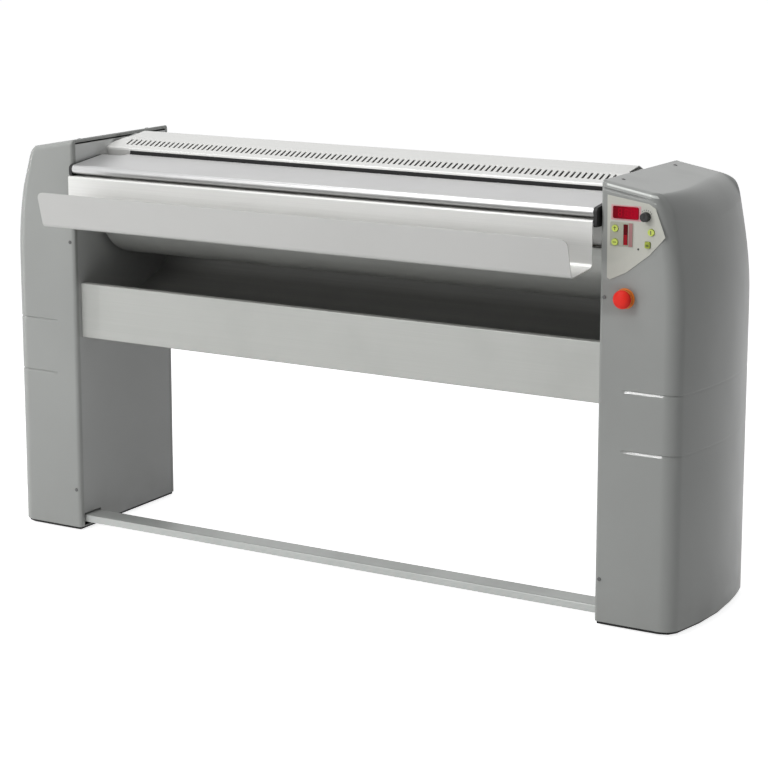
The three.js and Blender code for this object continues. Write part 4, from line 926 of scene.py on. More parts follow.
@dataclass
class SideCabinet:
    """Painted cabinet at one end of the machine.

    Attributes:
        side: Left or right.
        depth: Front to back.
        height: Height at the inner edge.
        flat: Width of the flat front face.
        front_radius: Outer front corner.
        back_radius: Outer back corner.
        bow: How far the outer side swells at mid depth.
        tilt: Slope of the bowed side beside a corner, in degrees.
        fold: Radius of the fold at the inner front edge.
        wall: Thickness of the sheet.
        top_edge: Rounding of the top at front and back.
        shoulder: Rounding of the top at the outer side.
        brow: How far the flat top stays from the outer side at the front.
        slope: Fall of the top per millimetre outwards.
        taper_start: Height at which the side starts to lean in.
        taper: How far it leans in.
        nip: How much further the front corner leans in at the top.
        nip_start: Height at which that begins.
        crown: Radius of the flat top's corners.
        grooves: Heights of the two grooves.
        groove_width: Width of a groove.
        groove_depth: Depth of a groove.
        groove_start: Distance of its front end from the inner face.
        groove_rest: Share of its depth that is left on the outer side.
        corner_sharp: How quickly the top's rounding narrows towards the front corner.
        base: Height of the cover's lower edge.
        joint: The inner plate's top edge below the cover's top.
        tuck: How far the sheet runs on behind an inner fold.
        plate_gap: From an inner fold to the inner plate.
        inner_edge: Rounding of the top at the inner side.
        closed: Rings, counted from the last, that also close along the inner side.
        seam_end: X at which the seam begins to fade.
        seam_fade: Length over which it fades.
        screw_seat: Foot of a screw's head behind the middle of its CAD node.
    """

    side: Side
    depth: float = 410.0
    height: float = 1011.0
    flat: float = 155.0
    front_radius: float = 40.0
    back_radius: float = 20.0
    bow: float = 22.0
    tilt: float = 14.0
    fold: float = 9.0
    wall: float = 3.0
    top_edge: float = 13.0
    shoulder: float = 60.0
    brow: float = 26.0
    slope: float = 0.18
    taper_start: float = 701.0
    taper: float = 28.0
    nip: float = 17.0
    nip_start: float = 860.0
    crown: float = 8.0
    grooves: Pair = (411.0, 547.0)
    groove_width: float = 9.0
    groove_depth: float = 2.84
    groove_start: float = 58.0
    groove_rest: float = 0.12
    corner_sharp: float = 2.2
    base: float = 12.3
    joint: float = 12.6
    tuck: float = 6.0
    plate_gap: float = 6.4
    inner_edge: float = 4.0
    closed: int = 14
    seam_end: float = 120.0
    seam_fade: float = 45.0
    screw_seat: float = 1.3

    @property
    def name(self) -> str:
        """The side as the nodes' names have it."""
        return self.side.name.lower()

    def width(self) -> float:
        """Widest reach of the cabinet from its inner face."""
        return self.flat + self.front_radius * math.cos(math.radians(self.tilt)) + self.bow

    def around(self, flat: float, front: float, back: float, margin: float
               ) -> list[tuple[float, float, float, float]]:
        """Runs round the front corner, the bowed side and the back corner.

        Args:
            flat: Width of the flat front.
            front: Radius of the front corner.
            back: Radius of the back corner.
            margin: Distance from the cabinet's front and back faces.

        Returns:
            Place and outward direction of each point.
        """
        tilt = math.radians(self.tilt)
        rear = self.depth - margin

        def corner(centre: Pair, radius: float, start: float, end: float, steps: int
                   ) -> list[tuple[float, float, float, float]]:
            """Points of a corner with their outward directions."""
            return [(x, y, (x - centre[0]) / radius, (y - centre[1]) / radius)
                    for x, y in arc(centre, radius, start, end, steps)]

        points = corner((flat, margin + front), front, -90.0, -self.tilt, 12)
        side_x = flat + front * math.cos(tilt)
        front_y = margin + front * (1 - math.sin(tilt))
        half = (rear - back * (1 - math.sin(tilt)) - front_y) / 2.0
        for i in range(1, 22):
            share = i / 11.0 - 1.0
            away = Vector((half, 2.0 * self.bow * share)).normalized()
            points.append((side_x + self.bow * (1.0 - share * share),
                           front_y + half * (1.0 + share), away.x, away.y))
        return points + corner((side_x - back * math.cos(tilt), rear - back), back, self.tilt,
                               90.0, 8)

    def plan(self) -> list[PlanPoint]:
        """The cabinet's outline from above.

        Returns:
            Points from the front inner fold round the outer side to the back inner fold.
        """
        points: list[PlanPoint] = []
        fold = self.fold

        def folded(middle: float, start: float) -> None:
            """Adds the fold round an inner edge."""
            for (x, y) in arc((fold, middle), fold, start, start + 90.0, 6):
                nx, ny = (x - fold) / fold, (y - middle) / fold
                top = self.inner_edge + (self.top_edge - self.inner_edge) * abs(ny)
                points.append(PlanPoint(x, y, nx, ny, top, 0.0, 0.0, -nx * top, -ny * top))

        def tucked(y: float) -> None:
            """Adds the end of the sheet behind a fold."""
            edge = self.inner_edge
            points.append(PlanPoint(0.0, y, -1.0, 0.0, edge, 0.0, 0.0, edge, 0.0))

        tucked(fold + self.tuck)
        folded(fold, 180.0)
        tilt = math.radians(self.tilt)
        top_flat = self.flat + (self.front_radius - self.crown) * math.cos(tilt) - self.brow
        squeeze = top_flat / self.flat - 1.0
        start = self.groove_start
        for x, groove in ((start - 4.0, 0.0), (start, 0.0), (start + 3.0, 0.6),
                          (start + 8.0, 1.0), *((stop, 1.0) for stop in FRONT_STOPS)):
            points.append(PlanPoint(x, 0.0, 0.0, -1.0, self.top_edge, groove, 0.0, x * squeeze,
                                    self.top_edge))
        outer = self.around(self.flat, self.front_radius, self.back_radius, 0.0)
        inner = self.around(top_flat, self.crown, self.crown, self.top_edge)
        for (x, y, nx, ny), (tx, ty, _, _) in zip(outer, inner):
            back = eased((y - self.front_radius) / (0.6 * self.depth))
            tx -= (self.shoulder - self.brow) * back
            sharp = self.corner_sharp if ny < 0.0 else 1.0
            top = self.top_edge + (self.shoulder - self.top_edge) * (1 - abs(ny)) ** sharp
            rest = self.groove_rest
            faint = max(rest, min(1.0, (-ny - 0.3) / 0.3)) if ny < 0.3 else rest + 0.7 * ny
            points.append(PlanPoint(x, y, nx, ny, top, faint, 0.0, tx - x, ty - y))
        folded(self.depth - fold, 90.0)
        tucked(self.depth - fold - self.tuck)
        for point in points:
            if point.ny < -0.5 and self.side is Side.RIGHT:
                fade = (point.x - self.seam_end) / self.seam_fade
                point.seam = 1.0 - max(0.0, min(1.0, fade))
        return points

    def tapered(self, height: float) -> float:
        """Share of the way from the taper's start to the shoulder."""
        return (height - self.taper_start) / (self.height - self.shoulder - self.taper_start)

    def lean(self, height: float) -> float:
        """How far the widest point leans in at a height."""
        return self.taper * max(0.0, self.tapered(height)) ** 2

    def drop(self, x: float, height: float) -> float:
        """How far the sloping top has fallen at a point."""
        return self.slope * x * eased(self.tapered(height))

    def placed(self, point: PlanPoint, height: float, inset: float, share: float) -> Point:
        """Place of a plan point at a height.

        Args:
            point: The point.
            height: Height before the top's slope.
            inset: How far it has moved inwards along its own direction.
            share: How far it has moved towards the flat top, 0 to 1.

        Returns:
            Its place, with X counted from mid length.
        """
        wide = point.x - point.nx * inset + point.dx * share
        deep = point.y - point.ny * inset + point.dy * share
        part = max(wide, 0.0) / self.width()
        up = max(0.0, min(1.0, (height - self.nip_start) / (self.height - self.nip_start)))
        nipped = self.nip * up ** 2.5 * min(1.0, max(0.0, -point.ny / 0.6))
        x = wide - (self.lean(height) + nipped) * part
        return (INNER + x, deep, height - self.drop(x, height))

    def levels(self) -> list[tuple[Callable[[PlanPoint], float], Callable[[PlanPoint], float],
                                   float]]:
        """Height, inset and share of the top's rounding of each ring, from the bottom up.

        Returns:
            Two rules and the share for each ring.
        """
        rings = []

        def flat(height: float, depth: float = 0.0) -> None:
            """Adds a ring at one height."""
            rings.append((lambda p, h=height: h, lambda p, d=depth: d * p.groove, 0.0))

        flat(self.base)
        flat(self.base + 3.0)
        unit = self.groove_width / PROFILE_WIDTH
        for middle in self.grooves:
            for step, depth in GROOVE_PROFILE:
                flat(middle + step * unit, depth * self.groove_depth)
        flat(self.taper_start)
        room = self.height - self.shoulder - self.taper_start
        for share in TAPER_RINGS:
            flat(self.taper_start + share * room)
        for below, depth in SEAM_PROFILE:
            rings.append((lambda p, b=below: self.height - p.top - b,
                          lambda p, d=depth: d * p.seam, 0.0))
        for i in range(9):
            turn = i / 8.0 * math.pi / 2.0
            rings.append((lambda p, t=turn: self.height - p.top * (1 - math.sin(t)),
                          lambda p: 0.0, 1 - math.cos(turn)))
        return rings

    def cover(self) -> None:
        """Builds the painted cover."""
        plan = self.plan()
        rings = self.levels()
        form = Form()
        bm = form.bm
        order = bm.verts.layers.int.new("order")
        edges = form.wire([(p.x, p.y, 0.0) for p in plan])
        line = [edges[0].verts[0], *(edge.verts[1] for edge in edges)]
        for i, vert in enumerate(line):
            vert[order] = i
        for level, (height, inset, share) in enumerate(rings):
            if level:
                made = bmesh.ops.extrude_edge_only(bm, edges=edges)["geom"]
                edges = [part for part in made if isinstance(part, bmesh.types.BMEdge)
                         and len(part.link_faces) == 1
                         and part.verts[0] in made and part.verts[1] in made]
                line = [part for part in made if isinstance(part, bmesh.types.BMVert)]
            for vert in line:
                point = plan[vert[order]]
                vert.co = self.placed(point, height(point), inset(point), share)
            if level == len(rings) - self.closed:
                ends = sorted(line, key=lambda v: v[order])
                edges = [*edges, bm.edges.new((ends[-1], ends[0]))]
        bmesh.ops.contextual_create(bm, geom=edges)
        bmesh.ops.recalc_face_normals(bm, faces=bm.faces)
        top = max(bm.faces, key=lambda face: face.calc_center_median().z)
        if top.normal.z < 0.0:
            bmesh.ops.reverse_faces(bm, faces=bm.faces)
        if self.side is Side.LEFT:
            form.flip_left()
        form.finished(f"{self.name}_cabinet_cover", Body.FRAME, GREY_PAINT, "grey_paint",
                      (f"{self.name}_side_cover",), wall=self.wall, edge=Edge(0.8, 2, 40.0))

    def inner_plate(self) -> None:
        """Builds the plate that closes the cabinet towards the roller."""
        form = Form.of_node(f"{self.name}_inner_plate")
        lip = self.fold + self.plate_gap
        form.trimmed((0.0, lip, 0.0), (0.0, -1.0, 0.0))
        form.trimmed((0.0, self.depth - lip, 0.0), (0.0, 1.0, 0.0))
        form.trimmed((0.0, 0.0, self.height - self.joint), (0.0, 0.0, 1.0))
        form.finished(f"{self.name}_cabinet_plate", Body.FRAME, INNER_PAINT, "grey_paint",
                      (f"{self.name}_inner_plate",), edge=Edge(0.4, 1, 40.0))

    def screws(self) -> None:
        """Builds the pan-head screws of the cover, flatter on the top."""
        up = (self.side.value * self.slope, 0.0, 1.0)
        for place, axis, tall in (("front", (0.0, -1.0, 0.0), 1.0), ("top", up, 0.5)):
            along = Vector(axis).normalized()
            for number in (1, 2):
                node = f"{self.name}_{place}_screw_{number}"
                low, high = spot(node)
                foot = (low + high) / 2.0 - along * self.screw_seat
                form = Form()
                form.turned([(radius, rise * tall) for radius, rise in SCREW_PROFILE],
                            tuple(foot), tuple(along), 24)
                form.finished(f"{node}_head", Body.FRAME, SCREW_ZINC, "plated_steel", (node,),
                              edge=Edge(0.12, 1))

    def build(self) -> None:
        """Builds and dresses the cabinet."""
        self.cover()
        self.inner_plate()
        self.screws()
        refined(f"{self.name}_base", Body.FRAME, RUBBER, "black_plastic", Edge(1.2, 2, 40.0))


# ---------------------------------------------------------------- roller and chest
# How far the padding is drawn in under its full radius, and how far that is from its end.
HEM_PROFILE = ((4.0, 0.0), (1.2, 2.0), (0.6, 6.0), (2.2, 26.0), (0.4, 34.0), (0.0, 60.0))


@dataclass
class Roller:
    """Padded roller with its tube, ends and bearings.

    Attributes:
        depth: Depth of the axis.
        height: Height of the axis.
        radius: Over the padding.
        core: Inside of the padding.
        half: Half of the roller's length.
    """

    depth: float = ROLLER_DEPTH
    height: float = ROLLER_HEIGHT
    radius: float = ROLLER_RADIUS
    core: float = 113.3
    half: float = 700.0

    def padding(self) -> None:
        """Builds the cloth padding, drawn in at its two hems."""
        ends = [(self.core, -self.half),
                *((self.radius - sunk, -self.half + way) for sunk, way in HEM_PROFILE)]
        profile = [*ends, *((radius, -way) for radius, way in reversed(ends))]
        form = Form()
        form.turned([*profile, ends[0]], (0.0, self.depth, self.height), (1, 0, 0), 96)
        piece = form.finished("roller_padding_sleeve", Body.ROLLER, PADDING, "padding_cloth",
                              ("roller_padding",), edge=Edge(0.0))

    def build(self) -> None:
        """Builds and dresses the roller."""
        self.padding()
        refined("roller_tube", Body.ROLLER, TUBE_STEEL, "satin_steel", Edge(0.5))
        for name in ("roller_left_end", "roller_right_end"):
            refined(name, Body.ROLLER, ZINC, "plated_steel", Edge(0.8))
        for name in ("left_roller_bearing", "right_roller_bearing"):
            refined(name, Body.FRAME, CAST_IRON, "cast_iron", Edge(1.5, 3))
        refined("roller_sprocket", Body.ROLLER, DARK_STEEL, "dark_steel", Edge(0.4, 1))


@dataclass
class Chest:
    """Heated chest under the roller, with its curved cover and its lift.

    Attributes:
        depth: Depth of the centre.
        height: Height of the centre.
        shell: Outside radius of the curved cover.
        wall: Thickness of the cover.
        rim: Degrees below the axis at which it ends.
        lip: Radius to which its two edges are folded in.
        lip_turn: Degrees from an edge to the end of its fold.
        half: Half of its length.
    """

    depth: float = ROLLER_DEPTH
    height: float = ROLLER_HEIGHT
    shell: float = 152.0
    wall: float = 2.0
    rim: float = 3.0
    lip: float = 137.2
    lip_turn: float = 1.0
    half: float = 712.0

    def cover(self) -> None:
        """Builds the curved cover."""
        axis = (self.depth, self.height)
        outer = arc(axis, self.shell, 180 + self.rim, 360 - self.rim, 72)
        inside = self.rim + self.lip_turn
        ends = [arc(axis, self.lip, angle, angle, 1)[0] for angle in (180 + inside, 360 - inside)]
        form = Form()
        edges = form.wire([(-self.half, y, z) for y, z in (ends[0], *outer, ends[1])])
        form.swept(edges, (2 * self.half, 0.0, 0.0))
        bmesh.ops.recalc_face_normals(form.bm, faces=form.bm.faces)
        lowest = min(form.bm.faces, key=lambda face: face.calc_center_median().z)
        if lowest.normal.z > 0.0:
            bmesh.ops.reverse_faces(form.bm, faces=form.bm.faces)
        form.finished("chest_curved_cover", Body.CHEST, APRON_STEEL, "satin_steel",
                      ("chest_cover",), wall=self.wall, edge=Edge(0.4))

    def build(self) -> None:
        """Builds and dresses the chest."""
        self.cover()
        refined("heated_chest", Body.CHEST, CHEST_STEEL, "satin_steel", Edge(0.6))
        dressed(DARK_STEEL, "chest_heater_1", "chest_heater_2", "chest_heater_3")
        for name in ("left", "right"):
            refined(f"{name}_lift_rod", Body.CHEST, ZINC, "plated_steel", Edge(0.6))
            refined(f"{name}_lift_cylinder", Body.FRAME, DARK_STEEL, "dark_steel", Edge(0.8))


# ---------------------------------------------------------------- feeding side
@dataclass
class FeedTray:
    """Tray in front of the roller, folded from one sheet.

    Attributes:
        edge: Softening of the sheet's edges and folds.
    """

    edge: Edge = Edge(0.5, 2, 25.0)

    def build(self) -> None:
        """Builds and dresses the tray."""
        refined("feed_tray", Body.FRAME, TRAY_STEEL, "satin_steel", self.edge)


@dataclass
class FingerGuard:
    """Polished guard over the feed gap, hinged at its rear, with its two end caps.

    Attributes:
        edge: Softening of the sheet's edges.
        cap_edge: Softening of the caps' edges.
    """

    edge: Edge = Edge(0.4, 2, 30.0)
    cap_edge: Edge = Edge(1.2, 3)

    def build(self) -> None:
        """Builds and dresses the guard."""
        refined("finger_guard", Body.GUARD, GUARD_STEEL, "bright_steel", self.edge)
        for name in ("guard_left_cap", "guard_right_cap"):
            refined(name, Body.GUARD, BLACK_PLASTIC, "black_plastic", self.cap_edge)


# ---------------------------------------------------------------- vent cover and frame
@dataclass
class Housing:
    """Sheets between the cabinets: vent cover with a black strip of painted shade in the gap
    ahead of it, rear panel, chute, apron and beam.

    Attributes:
        shade_strip: Front, back, bottom and top of the black strip ahead of the vent cover,
            painted shade in the gap behind the finger guard.
        reach: Left and right end of the strip.
    """

    shade_strip: Box = (140.4, 142.9, 957.0, 975.0)
    reach: Pair = (-650.0, 713.0)

    def gap_shade_strip(self) -> None:
        """Builds the black strip that fills the gap behind the finger guard with painted shade.
        """
        front, back, bottom, top = self.shade_strip
        form = Form()
        form.block((self.reach[0], front, bottom), (self.reach[1], back, top), 0.8)
        form.finished("vent_gap_seal", Body.FRAME, GAP_SHADE_BLACK, "black_plastic", edge=Edge(0.0))

    def build(self) -> None:
        """Builds and dresses the sheets."""
        self.gap_shade_strip()
        refined("vent_cover", Body.FRAME, COVER_STEEL, "satin_steel", Edge(0.4, 1, 28.0))
        refined("rear_panel", Body.FRAME, REAR_STEEL, "satin_steel", Edge(0.5))
        refined("linen_chute", Body.FRAME, CHUTE_SHADED_STEEL, "satin_steel", Edge(0.4, 1))
        refined("front_apron", Body.FRAME, APRON_STEEL, "satin_steel", Edge(0.5))
        refined("cross_beam", Body.FRAME, ZINC, "plated_steel", Edge(1.5, 3))
        refined("foot_bar", Body.FOOT_LEVER, BAR_STEEL, "satin_steel", Edge(1.0, 2))
        refined("foot_switch", Body.FRAME, BLACK_PLASTIC, "black_plastic", Edge(1.0))


# ---------------------------------------------------------------- controls
# Body, finish, finish of the mark and the mark's strokes of each key; a stroke is left, right,
# bottom and top from the key's middle.
KEYS = (
    (Body.KEY_1, LIME, OLIVE,
     ((-0.9, 0.9, -4, 1), (-3.4, 3.4, 1, 2), (-2.2, 2.2, 2, 3), (-1, 1, 3, 4.2))),
    (Body.KEY_2, LIME, OLIVE, ((-4, 4, -0.9, 0.9),)),
    (Body.KEY_3, LIME, MARK_GREY, ((-1, 1, -4.4, 4.4),)),
    (Body.KEY_4, LIME_DEEP, OLIVE, ((-3.6, 3.6, -3.6, 1.5),)))


@dataclass
class ControlPanel:
    """Film with its display, level plate, buttons and knob on the right cabinet.

    Attributes:
        face: Depth of the film's front.
        display: Left, right, bottom and top of the display.
        rim: Outer reach of its light frame at left, right, bottom and top.
        gap: Room between the display and the frame.
        digit: Left edge, bottom, width and height of the first digit.
        pitch: From digit to digit.
        digit_bar: Height of a digit's top and bottom bar.
        digit_middle: Height of its middle bar.
        digit_post: Width of its posts.
        level: Left, right, bottom and top of the level plate.
        bar: Left, right, bottom and top of the level's lamp bar.
        buttons: Middles of the three round buttons.
        key: Middle of the square button.
        knob: Middle of the selector knob.
        knob_radius: Its radius.
        pilot: Middle of the small pilot lamp.
    """

    face: float = -1.5
    display: Box = (30, 91, 930, 957)
    rim: Box = (4.0, 5.0, 3.4, 2.4)
    gap: float = 0.4
    digit: Box = (43, 935, 9, 17)
    pitch: float = 15.0
    digit_bar: float = 1.5
    digit_middle: float = 1.4
    digit_post: float = 1.6
    level: Box = (24, 78, 869, 922)
    bar: Box = (56, 66, 873, 918)
    buttons: tuple[Pair, ...] = ((36, 908), (36, 878), (121, 905))
    key: Pair = (113, 877)
    knob: Pair = (108, 938)
    knob_radius: float = 11.0
    pilot: Pair = (91, 866)

    @staticmethod
    def strokes(name: str, body: Body, finish: Finish, slot: str, front: float,
                marks: Sequence[Box], deep: float = 0.35) -> None:
        """Builds thin raised strokes on the cabinet's front.

        Args:
            name: Name of the piece.
            body: Body it moves with.
            finish: Its finish.
            slot: Slot of the record.
            front: Depth of the strokes' front.
            marks: Left, right, bottom and top of each stroke.
            deep: Thickness of the strokes.
        """
        form = Form()
        for x0, x1, z0, z1 in marks:
            form.block((INNER + x0, front, z0), (INNER + x1, front + deep, z1))
        form.finished(name, body, finish, slot, edge=Edge(0.0))

    def readout(self) -> None:
        """Builds the display with its light frame and three digits."""
        refined("display_window", Body.FRAME, DISPLAY, "display_window", Edge(0.4))
        x0, x1, z0, z1 = self.display
        left, right, low, high = self.rim
        gap = self.gap
        self.strokes("display_surround", Body.FRAME, FRAME_FILM, "panel_film", self.face - 0.3, (
            (x0 - left, x1 + right, z0 - low, z0 - gap),
            (x0 - left, x1 + right, z1 + gap, z1 + high),
            (x0 - left, x0 - gap, z0 - gap, z1 + gap),
            (x1 + gap, x1 + right, z0 - gap, z1 + gap)))
        glass = spot("display_window")[0].y
        left, low, wide, tall = self.digit
        top, half = low + tall, low + tall / 2.0
        bar, middle, post = self.digit_bar, self.digit_middle / 2.0, self.digit_post
        lines = []
        for i in range(3):
            a = left + i * self.pitch
            b = a + wide
            lines += [(a + 1, b - 1, *span) for span in
                      ((low, low + bar), (half - middle, half + middle), (top - bar, top))]
            for span in ((low + 1, half - 1), (half + 1, top - 1)):
                lines += [(a, a + post, *span), (b - post, b, *span)]
        self.strokes("display_digits", Body.FRAME, SEGMENT, "display_window", glass - 0.05,
                     lines, 0.2)

    def gauge(self) -> None:
        """Builds the level plate with its strip and its two-tone lamp bar."""
        refined("level_plate", Body.FRAME, LEVEL_FILM, "level_film", Edge(0.2, 1))
        plate = spot("level_plate")[0].y
        _, x1, z0, z1 = self.level
        self.strokes("level_strip", Body.FRAME, PINK_FILM, "level_film", plate - 0.15,
                     ((x1 - 10.0, x1 - 0.8, z0 + 0.8, z1 - 0.8),), 0.3)
        front = spot("level_led_bar")[0].y
        refined("level_led_bar", Body.FRAME, LED_DARK, "led_bar", Edge(0.3, 1))
        x0, x1, z0, z1 = self.bar
        step = (z1 - z0) / 10.0
        cells = [(x0 + 0.8, x1 - 0.8, z0 + i * step + 0.5, z0 + (i + 1) * step - 0.5)
                 for i in range(10)]
        self.strokes("level_cells_lit", Body.FRAME, LED, "led_bar", front - 0.1, cells[:5], 0.3)
        self.strokes("level_cells_dark", Body.FRAME, LED_DARK, "led_bar", front - 0.1,
                     cells[5:], 0.3)

    def keys(self) -> None:
        """Builds the four buttons with their marks."""
        for number, (body, finish, _, _) in enumerate(KEYS, start=1):
            refined(f"button_{number}", body, finish, "button_lime", Edge(0.8, 3))
        front = spot("button_1")[0].y - 0.12
        middles = (*self.buttons, self.key)
        for number, ((body, _, ink, parts), (x, z)) in enumerate(zip(KEYS, middles), start=1):
            self.strokes(f"button_{number}_mark", body, ink, "button_lime", front,
                         [(x + x0, x + x1, z + z0, z + z1) for x0, x1, z0, z1 in parts], 0.3)

    def dial(self) -> None:
        """Builds the selector knob, its pointer, the ticks round it and the pilot lamp."""
        refined("selector_knob", Body.KNOB, KNOB_BLACK, "black_plastic", Edge(0.5, 2))
        x, z = self.knob
        ticks = [(x + dx - 0.7, x + dx + 0.7, z + dz - 1.3, z + dz + 1.3) for dx, dz in
                 arc((0.0, 0.0), self.knob_radius + 3.6, 30.0, 150.0, 6)]
        self.strokes("dial_ticks", Body.FRAME, MARK_GREY, "panel_film", self.face - 0.12, ticks,
                     0.3)
        form = Form()
        px, pz = self.pilot
        form.turned([(0.0, 0.0), (2.2, 0.0), (2.2, 0.8), (1.4, 1.5), (0.0, 1.7)],
                    (INNER + px, self.face + 0.1, pz), (0, -1, 0), 20)
        form.finished("pilot_lamp", Body.FRAME, MARK_GREY, "panel_film", edge=Edge(0.0))

    def build(self) -> None:
        """Builds and dresses the controls."""
        refined("control_panel", Body.FRAME, PANEL_FILM, "panel_film", Edge(0.5, 2))
        self.readout()
        self.gauge()
        self.keys()
        self.dial()


@dataclass
class StopButton:
    """Red mushroom button with its collar and switch.

    Attributes:
        bore: Radius of the ring's hole round the collar.
        reach: Outer radius of the ring.
        thick: Thickness of the ring.
        chamfer: Width of its outer chamfer.
        clear: Room between the ring and the cover.
    """

    bore: float = 19.3
    reach: float = 23.0
    thick: float = 1.6
    chamfer: float = 0.7
    clear: float = 0.3

    def ring(self) -> None:
        """Builds the thin ring that lies on the cover behind the button."""
        low, high = spot("stop_collar")
        middle = (low + high) / 2.0
        form = Form()
        form.turned([(self.bore, 0.0), (self.reach, 0.0), (self.reach, self.thick * 0.6),
                     (self.reach - self.chamfer, self.thick), (self.bore, self.thick),
                     (self.bore, 0.0)],
                    (middle.x, -self.clear, middle.z), (0.0, -1.0, 0.0), 48)
        form.finished("stop_ring", Body.FRAME, STOP_YELLOW, "stop_yellow", edge=Edge(0.1, 1))

    def build(self) -> None:
        """Builds and dresses the button."""
        refined("stop_cap", Body.STOP_HEAD, STOP_RED, "stop_red", Edge(0.6, 2, 50.0))
        refined("stop_plunger", Body.STOP_STEM, DARK_STEEL, "dark_steel", Edge(0.4))
        refined("stop_collar", Body.FRAME, STOP_YELLOW, "stop_yellow", Edge(1.0, 3))
        self.ring()
        dressed(BLACK_PLASTIC, "stop_switch")


@dataclass
class Drive:
    """Motor, chain and electrics inside the right cabinet, and the gland behind it.

    Attributes:
        cast_edge: Softening of the motor's housing.
        sheet_edge: Softening of the bracket and the chain.
    """

    cast_edge: Edge = Edge(2.5, 3)
    sheet_edge: Edge = Edge(0.8)

    def build(self) -> None:
        """Dresses the drive."""
        refined("motor_sprocket", Body.MOTOR_SHAFT, DARK_STEEL, "dark_steel", Edge(0.4, 1))
        refined("drive_chain", Body.FRAME, DARK_STEEL, "dark_steel", self.sheet_edge)
        refined("gear_motor", Body.FRAME, MOTOR_GREY, "motor_grey", self.cast_edge)
        refined("motor_bracket", Body.FRAME, ZINC, "plated_steel", self.sheet_edge)
        refined("control_box", Body.FRAME, BOX_GREY, "box_grey", Edge(1.5, 2))
        refined("cable_gland", Body.FRAME, BLACK_PLASTIC, "black_plastic", Edge(0.6))


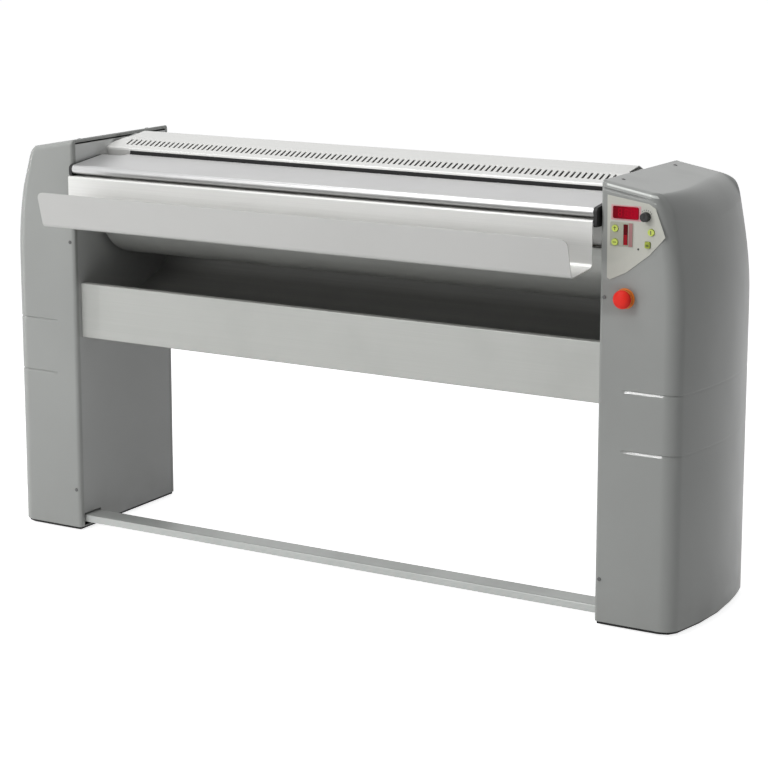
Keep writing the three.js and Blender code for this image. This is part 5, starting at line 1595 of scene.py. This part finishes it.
# ---------------------------------------------------------------- studio
@dataclass
class Studio:
    """Pale floor, white surroundings, soft lamps and the camera.

    Attributes:
        eye: Place of the camera in metres.
        pitch: Tilt of the camera from looking straight down, in radians.
        heading: Turn of the camera about the vertical, in radians.
        lens: Focal length in millimetres on a 36 mm sensor.
        shift: Vertical shift of the picture, in widths.
        ambient: Strength of the light from all around.
        floor_lift: Brightness added to the floor for the camera and in reflections.
        lamps: Name, place, aim, size and watts of each lamp, for lamp().
    """

    eye: Point = (2.8106, -4.5980, 1.6685)
    pitch: float = 1.38150
    heading: float = 0.53366
    lens: float = 106.72
    shift: float = -0.10026
    ambient: float = 0.20
    floor_lift: float = 0.84
    lamps: tuple[tuple[str, Point, Point, Pair, float], ...] = (
        ("key_lamp", (-1.3, -3.3, 3.3), (0.0, 0.0, 0.6), (1.2, 0.35), 62.0),
        ("front_lamp", (-1.6, -4.6, 1.5), (0.0, 0.1, 0.65), (2.2, 1.2), 40.0),
        ("top_lamp", (0.5, 0.4, 3.6), (0.4, 0.1, 0.8), (3.0, 2.2), 11.0),
        ("strip_lamp", (-0.4, -0.9, 3.6), (0.2, 0.0, 1.0), (2.8, 0.06), 30.0),
        ("rim_lamp", (-3.2, -1.0, 1.2), (-0.9, 0.0, 0.6), (0.06, 2.6), 18.0))

    def camera(self) -> None:
        """Creates the camera."""
        data = bpy.data.cameras.new("photo_camera")
        data.lens = self.lens
        data.sensor_width = 36.0
        data.shift_y = self.shift
        data.clip_end = 100.0
        camera = bpy.data.objects.new("photo_camera", data)
        camera.location = self.eye
        camera.rotation_euler = (self.pitch, 0.0, self.heading)
        bpy.context.scene.collection.objects.link(camera)
        bpy.context.scene.camera = camera

    def world(self) -> None:
        """Lights from all around, and shows white to the camera and in reflections."""
        world = bpy.data.worlds.new("surroundings")
        world.use_nodes = True
        bpy.context.scene.world = world
        graph = Graph(world.node_tree)
        seen = self.seen(graph)
        soft = graph.node("ShaderNodeBackground", inputs={
            "Color": (0.97, 0.98, 1.0, 1.0), "Strength": self.ambient})
        white = graph.node("ShaderNodeBackground", inputs={
            "Color": (1.0, 1.0, 1.0, 1.0), "Strength": 1.0})
        both = graph.node("ShaderNodeMixShader", inputs={0: seen, 1: soft, 2: white})
        graph.node("ShaderNodeOutputWorld", inputs={"Surface": both})

    @staticmethod
    def seen(graph: Graph) -> Term:
        """1 for rays from the camera, from gloss and through glass."""
        path = graph.node("ShaderNodeLightPath")
        outputs = path.socket.node.outputs
        rays = [Term(graph, outputs[name]) for name in
                ("Is Camera Ray", "Is Glossy Ray", "Is Transmission Ray")]
        return rays[0].most(rays[1]).most(rays[2])

    def floor(self) -> None:
        """Makes the pale floor, which keeps the object's shadow."""
        bm = bmesh.new()
        bmesh.ops.create_grid(bm, x_segments=1, y_segments=1, size=30.0)
        mesh = bpy.data.meshes.new("studio_floor")
        bm.to_mesh(mesh)
        bm.free()
        material = bpy.data.materials.new("studio_floor")
        material.use_nodes = True
        graph = Graph(material.node_tree)
        tone = graph.mix((0.86, 0.86, 0.86), (0.90, 0.90, 0.90), graph.noise(0.7, 2.0))
        matt = graph.node("ShaderNodeBsdfDiffuse", inputs={"Color": tone})
        lift = graph.node("ShaderNodeEmission", inputs={
            "Color": (1.0, 1.0, 1.0, 1.0), "Strength": self.seen(graph) * self.floor_lift})
        both = graph.node("ShaderNodeAddShader", inputs={0: matt, 1: lift})
        graph.node("ShaderNodeOutputMaterial", inputs={"Surface": both})
        mesh.materials.append(material)
        floor = bpy.data.objects.new("studio_floor", mesh)
        bpy.context.scene.collection.objects.link(floor)

    @staticmethod
    def lamp(name: str, place: Point, aim: Point, size: Pair, power: float) -> None:
        """Hangs a soft lamp.

        Args:
            name: Name of the lamp.
            place: Where it hangs, in metres.
            aim: What it faces, in metres.
            size: Width and height of its face, in metres.
            power: Watts.
        """
        data = bpy.data.lights.new(name, "AREA")
        data.shape = "RECTANGLE"
        data.size, data.size_y = size
        data.energy = power
        lamp = bpy.data.objects.new(name, data)
        lamp.location = place
        lamp.rotation_euler = (Vector(aim) - Vector(place)).to_track_quat("-Z", "Y").to_euler()
        bpy.context.scene.collection.objects.link(lamp)

    def build(self) -> None:
        """Sets up the studio."""
        scene = bpy.context.scene
        scene.view_settings.view_transform = "Standard"
        self.camera()
        self.world()
        self.floor()
        for lamp in self.lamps:
            self.lamp(*lamp)


def main() -> None:
    """Builds every sub-assembly in order."""
    logging.basicConfig(level=logging.INFO, format="%(name)s: %(message)s")
    Studio().build()
    for assembly in (SideCabinet(Side.LEFT), SideCabinet(Side.RIGHT), Roller(), Chest(),
                     FeedTray(), FingerGuard(), Housing(), ControlPanel(), StopButton(),
                     Drive()):
        log.info("building %s", type(assembly).__name__)
        assembly.build()


if __name__ == "__main__":
    main()
